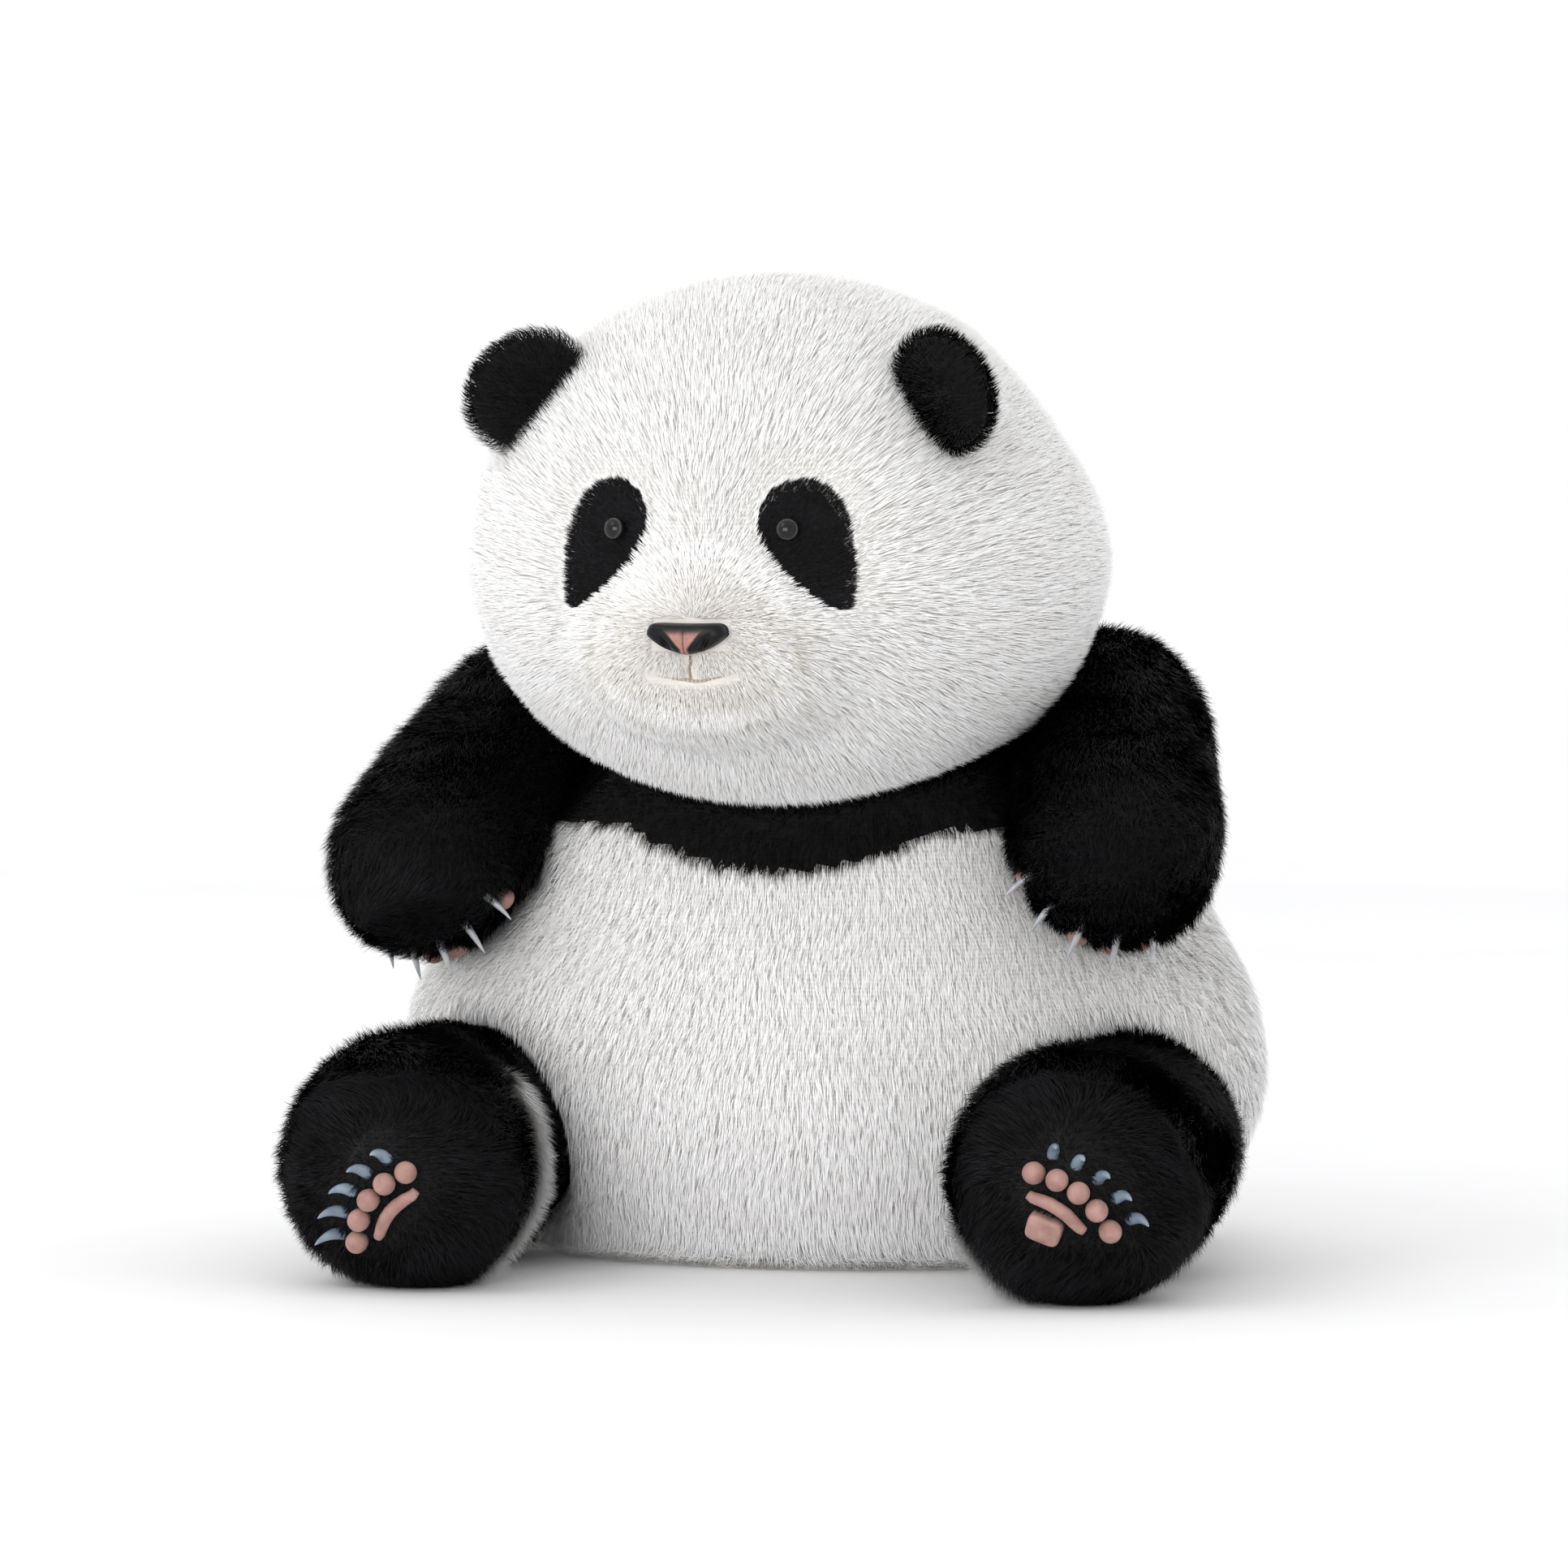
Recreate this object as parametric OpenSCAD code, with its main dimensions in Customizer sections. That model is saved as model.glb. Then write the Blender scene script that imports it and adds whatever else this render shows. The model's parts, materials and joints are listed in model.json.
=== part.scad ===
// Sitting plush panda, about 34 cm tall, with a disc-jointed neck, shoulders and hips.
// Frame: origin on the seat under the body, +Z up, the panda looks along -Y and its left side is +X.
// Sizes are those of the sewn backing fabric; the pile stands about 7 mm proud of it.

/* [Body] */
// half width of the belly
belly_half_w = 152; // [120:1:180]
// half depth of the belly
belly_half_d = 112; // [90:1:140]
// half height of the belly's full curve
belly_half_h = 98; // [70:1:110]
// height of the widest part of the belly
belly_z = 66; // [50:1:95]
// half width, depth and height of the chest
chest_half = [112, 88, 82];
// centre of the chest
chest_at = [0, 22, 146];
// height of the seam between the white body and the black shoulders
yoke_seam_z = 144; // [130:1:160]

/* [Head] */
// half width and half depth of the head
head_r = 103.5; // [85:0.5:120]
// half height of the head
head_half_h = 86.5; // [70:0.5:100]
// centre of the head, on the neck's axis
head_at = [0, -45, 250];
// how far the head is turned to the panda's right at rest, in degrees
head_turn = 5; // [0:1:20]
// half width, depth and height of the muzzle
muzzle_half = [41, 27, 29];
// diameter of the safety eyes
eye_d = 8; // [6:0.5:12]
// width of the moulded nose
nose_w = 28; // [20:1:36]

/* [Limbs] */
// top end of the left arm, where it turns
arm_top = [90, 42, 206];
// centre of the left paw
paw_at = [116, -61, 148];
// radius of the paw
paw_r = 33; // [26:1:38]
// radius of the upper arm
upper_arm_r = 32; // [20:1:36]
// half length of the upper arm
upper_arm_half = 58; // [45:1:65]
// how far the right arm hangs below the left one, in degrees
right_arm_drop = 9; // [0:1:30]
// direction that the shoulder joint faces: degrees forward of sideways, then degrees up
shoulder_facing = [20, 40]; // [0:1:60]
// centre of the left foot
foot_at = [115, -123, 42];
// centre of the left thigh
thigh_at = [114.5, -46, 43];
// radius of the foot
foot_r = 40.5; // [34:0.5:44]
// radius of the thigh
thigh_r = 38; // [30:1:42]
// half length of the thigh
thigh_half = 52; // [40:1:60]
// how far the right foot is turned outwards about its leg, in degrees
right_foot_turn = 14; // [0:1:30]

/* [Trim] */
// length of a claw
claw_len = 12; // [8:1:16]
// radius of a claw at its root
claw_r = 1.7; // [1:0.1:2.5]
// radius of a toe pad
toe_pad_r = 3.8; // [2.5:0.1:5]

/* [Build] */
// thickness of the plush backing and the pile's foot
wall = 3; // [2:0.5:5]
// free gap between pieces that move against each other
gap = 0.6; // [0.3:0.1:1]
// radius of the joint pins
pin_r = 3; // [2:0.5:4]
// radial play of a pin in the disc it turns in
play = 0.05; // [0.01:0.01:0.1]

/* [Hidden] */
$fn = 120;
LEFT = 1;
RIGHT = -1;

belly_at = [0, 28, belly_z];
belly_half = [belly_half_w, belly_half_d, belly_half_h];
head_half = [head_r, head_r, head_half_h];
seal = 0.25;          // gap between the stuffing and the cover around it
big = 400;            // larger than the whole toy
disc_r = 11.5;
disc_t = 3;
ring_t = 2;
disc_set = 4.5;       // how far a joint disc sits behind the curved wall
pin_hole_r = pin_r + 0.5;

function unit(v) = v / norm(v);
function mirrored(v, side) = [side * v[0], v[1], v[2]];

// The shoulder joint's axis, and the flat that the arm and the chest share, for the left side.
shoulder_axis = [
    cos(shoulder_facing[0]) * cos(shoulder_facing[1]),
    -sin(shoulder_facing[0]) * cos(shoulder_facing[1]),
    sin(shoulder_facing[1])
];
arm_run = paw_at - arm_top;
upper_arm_at = arm_top + arm_run * 0.44 + [4, 0, -3];
shoulder_flat = shoulder_axis * paw_at - paw_r + 5;
arm_turn_at = arm_top + arm_run * 0.2;
shoulder_at = arm_turn_at - shoulder_axis * (shoulder_axis * arm_turn_at - shoulder_flat);

// The leg turns about its own long axis, through the middle of its rounded back end.
leg_axis = unit(foot_at - thigh_at);
hip_at = thigh_at - leg_axis * thigh_half;
neck_at = head_at - [0, 0, head_half_h];

module ellipsoid(centre, half, grow = 0) {
    translate(centre)
        scale(half + [grow, grow, grow])
            sphere(r = 1);
}

// Turns +Z onto a direction, at a point.
module aim(at, direction) {
    d = unit(direction);
    translate(at)
        rotate([0, acos(d[2]), atan2(d[1], d[0])])
            children();
}

module on_side(side) {
    if (side == LEFT)
        children();
    else
        mirror([1, 0, 0])
            children();
}

// Everything beyond the plane through a point, on the side its normal faces.
module beyond(at, normal) {
    aim(at, normal)
        translate([-big / 2, -big / 2, 0])
            cube(big);
}

module head_frame() {
    translate(head_at)
        rotate([0, 0, -head_turn])
            children();
}

module arm_frame(side) {
    on_side(side)
        translate(shoulder_at)
            rotate(a = side == RIGHT ? right_arm_drop : 0, v = shoulder_axis)
                translate(-shoulder_at)
                    children();
}

module leg_frame(side) {
    on_side(side)
        translate(hip_at)
            rotate(a = side == RIGHT ? -right_foot_turn : 0, v = leg_axis)
                translate(-hip_at)
                    children();
}

// ---- soft outlines, each shrunk by an inset or grown by a negative one ----

module head_form(inset = 0) {
    ellipsoid([0, 0, 0], head_half, -inset);
}

module arm_form(inset = 0) {
    difference() {
        union() {
            aim(upper_arm_at, arm_run)
                scale([upper_arm_r - inset, upper_arm_r - inset, upper_arm_half - inset])
                    sphere(r = 1);
            translate(paw_at)
                sphere(r = paw_r - inset);
        }
        beyond(shoulder_at + shoulder_axis * (gap + inset), -shoulder_axis);
    }
}

module foot_ball(grow = 0) {
    translate(foot_at)
        sphere(r = foot_r + grow);
}

module leg_form(inset = 0, longer = 0) {
    aim(thigh_at, leg_axis)
        scale([thigh_r - inset, thigh_r - inset, thigh_half - inset + longer])
            sphere(r = 1);
    foot_ball(-inset);
}

// The hollows for the thighs can be drawn longer, to leave room behind them.
module torso_form(inset = 0, hip_room = 0) {
    difference() {
        union() {
            ellipsoid(belly_at, belly_half, -inset);
            ellipsoid(chest_at, chest_half, -inset);
        }
        translate([-big / 2, -big / 2, inset - big])
            cube(big);
        ellipsoid(head_at, head_half, gap + inset);
        for (side = [LEFT, RIGHT])
            on_side(side) {
                beyond(shoulder_at - shoulder_axis * inset, shoulder_axis);
                leg_form(-gap - inset, hip_room);
            }
    }
}

// ---- joint hardware, along +Z from the body into the limb ----

// Room in the stuffing round a disc, its ring and the end of the pin.
module joint_room() {
    translate([0, 0, -wall - disc_set - disc_t / 2])
        sphere(r = disc_r + 3);
}

module joint_disc() {
    difference() {
        translate([0, 0, -wall - disc_set - disc_t])
            cylinder(r = disc_r, h = disc_t);
        translate([0, 0, -big / 2])
            cylinder(r = pin_r + play, h = big);
    }
}

module joint_pin() {
    foot = wall + disc_set + disc_t + ring_t + 2;
    translate([0, 0, -foot])
        cylinder(r = pin_r, h = foot + gap + wall + disc_set + 1);
    translate([0, 0, gap + wall + disc_set])
        cylinder(r = disc_r, h = disc_t);
}

module joint_ring() {
    translate([0, 0, -wall - disc_set - disc_t - ring_t - 0.3])
        difference() {
            cylinder(r = pin_r + 3, h = ring_t);
            translate([0, 0, -1])
                cylinder(r = pin_r, h = ring_t + 2);
        }
}

module pin_hole() {
    translate([0, 0, -20])
        cylinder(r = pin_hole_r, h = 40);
}

module pin_space() {
    translate([0, 0, wall - 2])
        cylinder(r = disc_r + 1, h = gap + disc_set + disc_t + 3);
}

module neck_joint_frame() {
    aim(neck_at, [0, 0, 1])
        children();
}

module shoulder_joint_frame(side) {
    on_side(side)
        aim(shoulder_at, shoulder_axis)
            children();
}

module hip_joint_frame(side) {
    on_side(side)
        aim(hip_at, leg_axis)
            children();
}

module all_joint_frames() {
    neck_joint_frame()
        children();
    for (side = [LEFT, RIGHT]) {
        shoulder_joint_frame(side)
            children();
        hip_joint_frame(side)
            children();
    }
}

// ---- torso ----

module torso_shell() {
    difference() {
        torso_form();
        torso_form(wall);
        all_joint_frames()
            pin_hole();
        translate([-big / 2, -big / 2, wall - big])
            cube(big);
    }
}

module torso_cover() {
    color("#f4f2ee")
        difference() {
            torso_shell();
            translate([-big / 2, -big / 2, yoke_seam_z])
                cube(big);
        }
}

module shoulder_yoke() {
    color("#1c1b1d")
        difference() {
            torso_shell();
            translate([-big / 2, -big / 2, yoke_seam_z - big])
                cube(big);
        }
}

// The oval bottom panel that closes the body under the pellets.
module base_panel() {
    color("#ece9e3")
        intersection() {
            torso_form();
            translate([-big / 2, -big / 2, 0])
                cube([big, big, wall - seal]);
        }
}

module pellet_bag_form(grow = 0) {
    difference() {
        ellipsoid([0, belly_at[1], 24], [62, 47, 27], grow);
        translate([-big / 2, -big / 2, wall + seal - grow - big])
            cube(big);
    }
}

module torso_stuffing() {
    color("#fafafa")
        difference() {
            torso_form(wall + seal, hip_room = disc_r + 2);
            pellet_bag_form(seal);
            neck_joint_frame()
                joint_room();
            for (side = [LEFT, RIGHT])
                shoulder_joint_frame(side)
                    joint_room();
        }
}

module pellet_bag() {
    color("#d8d4c8")
        pellet_bag_form();
}

tail_at = [0, belly_at[1] + belly_half_d * 0.93, 52];

module tail() {
    color("#f4f2ee")
        difference() {
            ellipsoid(tail_at, [22, 17, 18]);
            ellipsoid(belly_at, belly_half, seal / 2);
        }
}

module neck_disc() {
    color("#b9bec2")
        neck_joint_frame()
            joint_disc();
}

module shoulder_discs() {
    color("#b9bec2")
        for (side = [LEFT, RIGHT])
            shoulder_joint_frame(side)
                joint_disc();
}

module hip_discs() {
    color("#b9bec2")
        for (side = [LEFT, RIGHT])
            hip_joint_frame(side)
                joint_disc();
}

// ---- head, drawn about its own centre and turned as one ----

eye_spread = 29;
eye_lift = 7;
muzzle_at = [0, -93, -33];
nose_lift = -27;
ear_at = [73, -65, 53];
ear_half = [22, 9, 18.5];
ear_lean = 40;        // how far an ear leans out, in degrees
shank_r = 1.5;
shank_len = 13;
washer_r = 5;
washer_t = 1.5;

// How far forward the head's surface is at a place across and up the face.
function face_y(x, z) = -head_r * sqrt(1 - pow(x / head_r, 2) - pow(z / head_half_h, 2));

// The outward direction of the head's surface there.
function face_normal(x, z) =
    unit([x / pow(head_r, 2), face_y(x, z) / pow(head_r, 2), z / pow(head_half_h, 2)]);

function eye_at(side) = [side * eye_spread, face_y(eye_spread, eye_lift), eye_lift];
nose_at = [0, muzzle_at[1] - muzzle_half[1] + 1, nose_lift];

module muzzle_form(inset = 0) {
    ellipsoid(muzzle_at, muzzle_half, -inset);
}

module eye_frame(side) {
    aim(eye_at(side), face_normal(side * eye_spread, eye_lift))
        children();
}

module shank_hole(r = shank_r + 0.2) {
    translate([0, 0, -shank_len - 2])
        cylinder(r = r, h = shank_len + 22);
}

module washer() {
    difference() {
        translate([0, 0, -wall - 1 - washer_t])
            cylinder(r = washer_r, h = washer_t);
        translate([0, 0, -big / 2])
            cylinder(r = shank_r, h = big);
    }
}

module washer_space() {
    translate([0, 0, -wall - 2 - washer_t])
        cylinder(r = washer_r + 0.5, h = washer_t + 2);
}

module nose_frame() {
    translate(nose_at)
        rotate([90, 0, 0])
            children();
}

module head_cover() {
    color("#f7f6f3")
        head_frame()
            difference() {
                head_form();
                head_form(wall);
                for (side = [LEFT, RIGHT])
                    eye_frame(side)
                        shank_hole();
                nose_frame()
                    translate([0, 0, -60])
                        cylinder(r = shank_r + 0.2, h = 60);
                translate([0, 0, -head_half_h - 20])
                    cylinder(r = pin_hole_r, h = 40);
            }
}

module muzzle() {
    color("#f4efe2")
        head_frame()
            difference() {
                muzzle_form();
                head_form(-seal);
                nose_frame()
                    translate([0, 0, -60])
                        cylinder(r = shank_r + 0.2, h = 60);
                nose_body(seal);
            }
}

module head_stuffing() {
    color("#fafafa")
        head_frame()
            difference() {
                head_form(wall + seal);
                for (side = [LEFT, RIGHT])
                    eye_frame(side) {
                        shank_hole();
                        washer_space();
                    }
                nose_frame()
                    translate([0, 0, -60])
                        cylinder(r = washer_r + 0.5, h = 60);
                translate([0, 0, -head_half_h])
                    pin_space();
            }
}

module ear(side) {
    color("#1c1b1d")
        head_frame()
            difference() {
                on_side(side)
                    translate(ear_at)
                        rotate([12, ear_lean, -24])
                            scale(ear_half)
                                sphere(r = 1);
                head_form(-seal);
            }
}

module ear_left() {
    ear(LEFT);
}

module ear_right() {
    ear(RIGHT);
}

// A black plush patch laid on the face round the eye, slanting down and outwards.
module eye_patch(side) {
    color("#1c1b1d")
        head_frame()
            difference() {
                intersection() {
                    head_form(-2);
                    on_side(side)
                        translate([eye_spread + 5, -head_r, eye_lift - 5])
                            rotate([90, 26, 0])
                                scale([13, 21.5, 1])
                                    cylinder(r = 1, h = 2 * head_r, center = true);
                }
                head_form(-seal);
                muzzle_form(-seal);
                translate([-big / 2, -head_r * 0.4, -big / 2])
                    cube(big);
                eye_frame(side)
                    shank_hole(r = shank_r + 0.3);
            }
}

module eye_patch_left() {
    eye_patch(LEFT);
}

module eye_patch_right() {
    eye_patch(RIGHT);
}

module eye(side) {
    color("#0a0a0b")
        head_frame()
            eye_frame(side) {
                intersection() {
                    translate([0, 0, 2])
                        sphere(d = eye_d);
                    translate([0, 0, 2])
                        cylinder(d = eye_d + 2, h = eye_d);
                }
                translate([0, 0, -shank_len])
                    cylinder(r = shank_r, h = shank_len + 3);
            }
}

module eye_left() {
    eye(LEFT);
}

module eye_right() {
    eye(RIGHT);
}

module eye_washers() {
    color("#e6e6e6")
        head_frame()
            for (side = [LEFT, RIGHT])
                eye_frame(side)
                    washer();
}

// The moulded nose: a flat-topped wedge with its point down.
module nose_body(grow = 0) {
    half_w = nose_w / 2 + grow;
    nose_frame()
        translate([0, 0, -6 - grow])
            linear_extrude(height = 9 + 2 * grow)
                polygon([
                    [-half_w, 5 + grow], [half_w, 5 + grow], [half_w - 1.5, 0],
                    [4, -7 - grow], [-4, -7 - grow], [-half_w + 1.5, 0]
                ]);
}

module nose() {
    color("#202022")
        head_frame() {
            nose_body();
            nose_frame()
                translate([0, 0, -48])
                    cylinder(r = shank_r, h = 46);
        }
}

module nose_washer() {
    color("#e6e6e6")
        head_frame()
            nose_frame()
                translate([0, 0, -42])
                    difference() {
                        cylinder(r = washer_r, h = washer_t);
                        translate([0, 0, -1])
                            cylinder(r = shank_r, h = washer_t + 2);
                    }
}

// The thread that pulls the mouth in: one short upright run under the nose.
module mouth_stitch() {
    color("#b9ab98")
        head_frame()
            difference() {
                intersection() {
                    muzzle_form(-0.9);
                    translate([-0.6, muzzle_at[1] - muzzle_half[1] - 2, nose_lift - 17])
                        cube([1.2, muzzle_half[1], 8]);
                }
                muzzle_form(-0.1);
            }
}

module neck_pin() {
    color("#b9bec2")
        neck_joint_frame()
            joint_pin();
}

module neck_ring() {
    color("#8f9498")
        neck_joint_frame()
            joint_ring();
}

// ---- arms ----

// Directions in the left paw: out through the toes, and across them.
toe_dir = unit([-0.24, -0.54, -0.80]);
toe_side = unit(cross([-0.41, 0.80, -0.42], toe_dir));
palm_dir = unit(cross(toe_dir, toe_side));
toe_count = 5;
toe_step = 23;        // degrees between toes, round the paw

function toe_angle(i) = (i - (toe_count - 1) / 2) * toe_step;

// A point on the paw or its direction: round the toes by an angle, then towards the palm by another.
function paw_way(around, down) =
    cos(down) * (cos(around) * toe_dir + sin(around) * toe_side) + sin(down) * palm_dir;

module claw() {
    translate([0, 0, -1.5])
        cylinder(r1 = claw_r, r2 = 0.5, h = claw_len);
}

module arm_cover(side) {
    color("#1c1b1d")
        arm_frame(side)
            difference() {
                arm_form();
                arm_form(wall);
                aim(shoulder_at, shoulder_axis)
                    pin_hole();
            }
}

module arm_stuffing(side) {
    color("#fafafa")
        arm_frame(side)
            difference() {
                arm_form(wall + seal);
                aim(shoulder_at, shoulder_axis)
                    pin_space();
            }
}

module arm_claws(side) {
    color("#aab8c4")
        arm_frame(side)
            difference() {
                for (i = [0 : toe_count - 1]) {
                    way = paw_way(toe_angle(i), 5);
                    aim(paw_at + way * paw_r, way + 0.5 * palm_dir)
                        claw();
                }
                translate(paw_at)
                    sphere(r = paw_r + 0.1);
            }
}

module arm_pads(side) {
    color("#d99a8e")
        arm_frame(side)
            difference() {
                for (i = [0 : toe_count - 1])
                    translate(paw_at + paw_way(toe_angle(i), 24) * (paw_r + 1))
                        sphere(r = toe_pad_r);
                translate(paw_at)
                    sphere(r = paw_r + 0.1);
                beyond(shoulder_at + shoulder_axis * gap, -shoulder_axis);
            }
}

module arm_pin(side) {
    color("#b9bec2")
        shoulder_joint_frame(side)
            joint_pin();
}

module arm_ring(side) {
    color("#8f9498")
        shoulder_joint_frame(side)
            joint_ring();
}

module arm_left_cover() { arm_cover(LEFT); }
module arm_left_stuffing() { arm_stuffing(LEFT); }
module arm_left_claws() { arm_claws(LEFT); }
module arm_left_pads() { arm_pads(LEFT); }
module arm_left_pin() { arm_pin(LEFT); }
module arm_left_ring() { arm_ring(LEFT); }
module arm_right_cover() { arm_cover(RIGHT); }
module arm_right_stuffing() { arm_stuffing(RIGHT); }
module arm_right_claws() { arm_claws(RIGHT); }
module arm_right_pads() { arm_pads(RIGHT); }
module arm_right_pin() { arm_pin(RIGHT); }
module arm_right_ring() { arm_ring(RIGHT); }

// ---- legs ----

patch_w = 16;         // width of the white strip inside the ankle
patch_t = 1.4;

// A place on the foot's rounded sole, across and up from its middle.
function sole_point(x, z, lift = 0) =
    let (half = foot_r + lift, deep = half * sqrt(1 - (x * x + z * z) / (half * half)))
    foot_at + [x, -deep, z];

module leg_cover(side) {
    color("#1c1b1d")
        leg_frame(side)
            difference() {
                leg_form();
                leg_form(wall);
                aim(hip_at, leg_axis)
                    pin_hole();
            }
}

module leg_stuffing(side) {
    color("#fafafa")
        leg_frame(side)
            difference() {
                leg_form(wall + seal);
                aim(hip_at, leg_axis)
                    pin_space();
            }
}

// White plush strip let into the inner side of the ankle.
module leg_patch(side) {
    color("#f4f2ee")
        leg_frame(side)
            intersection() {
                difference() {
                    leg_form(-patch_t);
                    leg_form(-0.1);
                }
                translate([foot_at[0] - 60, foot_at[1] + 22, foot_at[2] - 34])
                    cube([40, patch_w, 62]);
            }
}

// The toes stand in an arc on the sole. It sits a little lower on the right foot.
toe_arc_at = [-12, -25];
right_toe_drop = 6.5;
toe_arc_r = 30;
claw_arc_r = 39;
bar_arc_r = 22;
bar_w = 4.6;
bar_proud = 2;
bar_reach = 30;

function toe_arc_point(side, radius, angle, lift = 0) =
    let (drop = side == RIGHT ? right_toe_drop : 0)
    sole_point(toe_arc_at[0] + radius * cos(angle),
               toe_arc_at[1] - drop + radius * sin(angle), lift);

// The middle of the arc that the bar pad bends round, at the front of the sole.
function bar_arc_at(side) =
    foot_at + [toe_arc_at[0], 2 - foot_r, toe_arc_at[1] - (side == RIGHT ? right_toe_drop : 0)];

module leg_claws(side) {
    color("#aab8c4")
        leg_frame(side)
            difference() {
                for (i = [0 : toe_count - 1]) {
                    a = 75 - i * 13;
                    aim(toe_arc_point(side, claw_arc_r, a), [cos(a), -0.8, sin(a)])
                        claw();
                }
                foot_ball(0.1);
            }
}

module leg_pads(side) {
    color("#d99a8e")
        leg_frame(side)
            difference() {
                union() {
                    for (i = [0 : toe_count - 1]) {
                        at = toe_arc_point(side, toe_arc_r, 83 - i * 15.5, 0.5);
                        aim(at, at - foot_at)
                            sphere(r = toe_pad_r);
                    }
                    intersection() {
                        foot_ball(bar_proud);
                        translate(bar_arc_at(side))
                            rotate([90, -27, 0])
                                rotate_extrude(angle = 60)
                                    translate([bar_arc_r - bar_w / 2, -bar_reach / 2])
                                        square([bar_w, bar_reach]);
                    }
                }
                foot_ball(0.1);
            }
}

// A plain pad below the toes on one foot only.
module leg_left_heel_pad() {
    at = sole_point(-5.5, -14);
    color("#cf9388")
        leg_frame(LEFT)
            difference() {
                aim(at, at - foot_at)
                    translate([-5, -4, -4])
                        cube([10, 8, 6.2]);
                foot_ball(0.1);
            }
}

module leg_pin(side) {
    color("#b9bec2")
        hip_joint_frame(side)
            joint_pin();
}

module leg_ring(side) {
    color("#8f9498")
        hip_joint_frame(side)
            joint_ring();
}

module leg_left_cover() { leg_cover(LEFT); }
module leg_left_patch() { leg_patch(LEFT); }
module leg_left_stuffing() { leg_stuffing(LEFT); }
module leg_left_claws() { leg_claws(LEFT); }
module leg_left_pads() { leg_pads(LEFT); }
module leg_left_pin() { leg_pin(LEFT); }
module leg_left_ring() { leg_ring(LEFT); }
module leg_right_cover() { leg_cover(RIGHT); }
module leg_right_patch() { leg_patch(RIGHT); }
module leg_right_stuffing() { leg_stuffing(RIGHT); }
module leg_right_claws() { leg_claws(RIGHT); }
module leg_right_pads() { leg_pads(RIGHT); }
module leg_right_pin() { leg_pin(RIGHT); }
module leg_right_ring() { leg_ring(RIGHT); }

torso_cover();
shoulder_yoke();
base_panel();
torso_stuffing();
pellet_bag();
tail();
neck_disc();
shoulder_discs();
hip_discs();
head_cover();
muzzle();
head_stuffing();
ear_left();
ear_right();
eye_patch_left();
eye_patch_right();
eye_left();
eye_right();
eye_washers();
nose();
nose_washer();
mouth_stitch();
neck_pin();
neck_ring();
arm_left_cover();
arm_left_stuffing();
arm_left_claws();
arm_left_pads();
arm_left_pin();
arm_left_ring();
arm_right_cover();
arm_right_stuffing();
arm_right_claws();
arm_right_pads();
arm_right_pin();
arm_right_ring();
leg_left_cover();
leg_left_patch();
leg_left_stuffing();
leg_left_claws();
leg_left_pads();
leg_left_heel_pad();
leg_left_pin();
leg_left_ring();
leg_right_cover();
leg_right_patch();
leg_right_stuffing();
leg_right_claws();
leg_right_pads();
leg_right_pin();
leg_right_ring();
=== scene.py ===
# A sitting plush panda: sewn and stuffed skins, each with its pile, turning on hidden plastic joints.
# Same frame as the CAD, in metres: +Z up, the panda looks along -Y and its left side is +X.
import json
import math

import bmesh
import bpy
import numpy as np
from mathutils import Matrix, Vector, kdtree
from mathutils.bvhtree import BVHTree


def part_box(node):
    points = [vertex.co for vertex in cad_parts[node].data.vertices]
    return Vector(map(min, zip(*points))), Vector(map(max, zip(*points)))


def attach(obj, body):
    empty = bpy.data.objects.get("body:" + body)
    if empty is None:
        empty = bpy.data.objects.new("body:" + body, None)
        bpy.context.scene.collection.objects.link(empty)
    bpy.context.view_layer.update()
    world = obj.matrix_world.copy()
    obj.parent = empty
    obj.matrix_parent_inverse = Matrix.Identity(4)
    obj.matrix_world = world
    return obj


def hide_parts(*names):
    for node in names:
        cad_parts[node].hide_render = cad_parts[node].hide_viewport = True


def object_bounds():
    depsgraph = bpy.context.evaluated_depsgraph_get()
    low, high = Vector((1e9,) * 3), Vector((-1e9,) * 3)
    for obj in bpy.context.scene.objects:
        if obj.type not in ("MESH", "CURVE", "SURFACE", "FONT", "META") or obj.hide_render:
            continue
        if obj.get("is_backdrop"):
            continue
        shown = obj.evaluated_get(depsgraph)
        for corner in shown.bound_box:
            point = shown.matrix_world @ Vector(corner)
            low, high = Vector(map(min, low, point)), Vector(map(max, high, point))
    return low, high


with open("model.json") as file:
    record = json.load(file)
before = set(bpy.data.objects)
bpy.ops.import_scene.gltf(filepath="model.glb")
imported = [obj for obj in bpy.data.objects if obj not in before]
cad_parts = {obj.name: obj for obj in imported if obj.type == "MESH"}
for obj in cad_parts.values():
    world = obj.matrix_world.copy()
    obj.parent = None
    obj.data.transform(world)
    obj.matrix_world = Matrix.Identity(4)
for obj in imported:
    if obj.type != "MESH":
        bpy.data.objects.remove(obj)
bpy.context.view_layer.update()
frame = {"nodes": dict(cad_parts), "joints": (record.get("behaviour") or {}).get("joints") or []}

# ---- Body -------------------------------------------------------------------------------------
# A squat pear of white knitted plush backing, cut and sewn, then stuffed hard. The black yoke over
# the shoulders is a second piece of backing sewn on along a curved seam below the chin.
MM = 0.001
chance = np.random.default_rng(11)
joints = {j["name"]: j for j in frame["joints"]}


def unit(v):
    return v / np.maximum(np.linalg.norm(v, axis=-1, keepdims=True), 1e-9)


def node_points(node):
    """The corners of a CAD node, as an array."""
    return np.array([v.co for v in frame["nodes"][node].data.vertices])


def cad_tree(nodes):
    """The outsides of some CAD nodes, ready to be asked for the nearest place or the first one met."""
    corners, faces = [], []
    for node in nodes:
        mesh = frame["nodes"][node].data
        start = len(corners)
        corners += [v.co.copy() for v in mesh.vertices]
        faces += [[start + i for i in p.vertices] for p in mesh.polygons]
    return BVHTree.FromPolygons(corners, faces)


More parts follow.
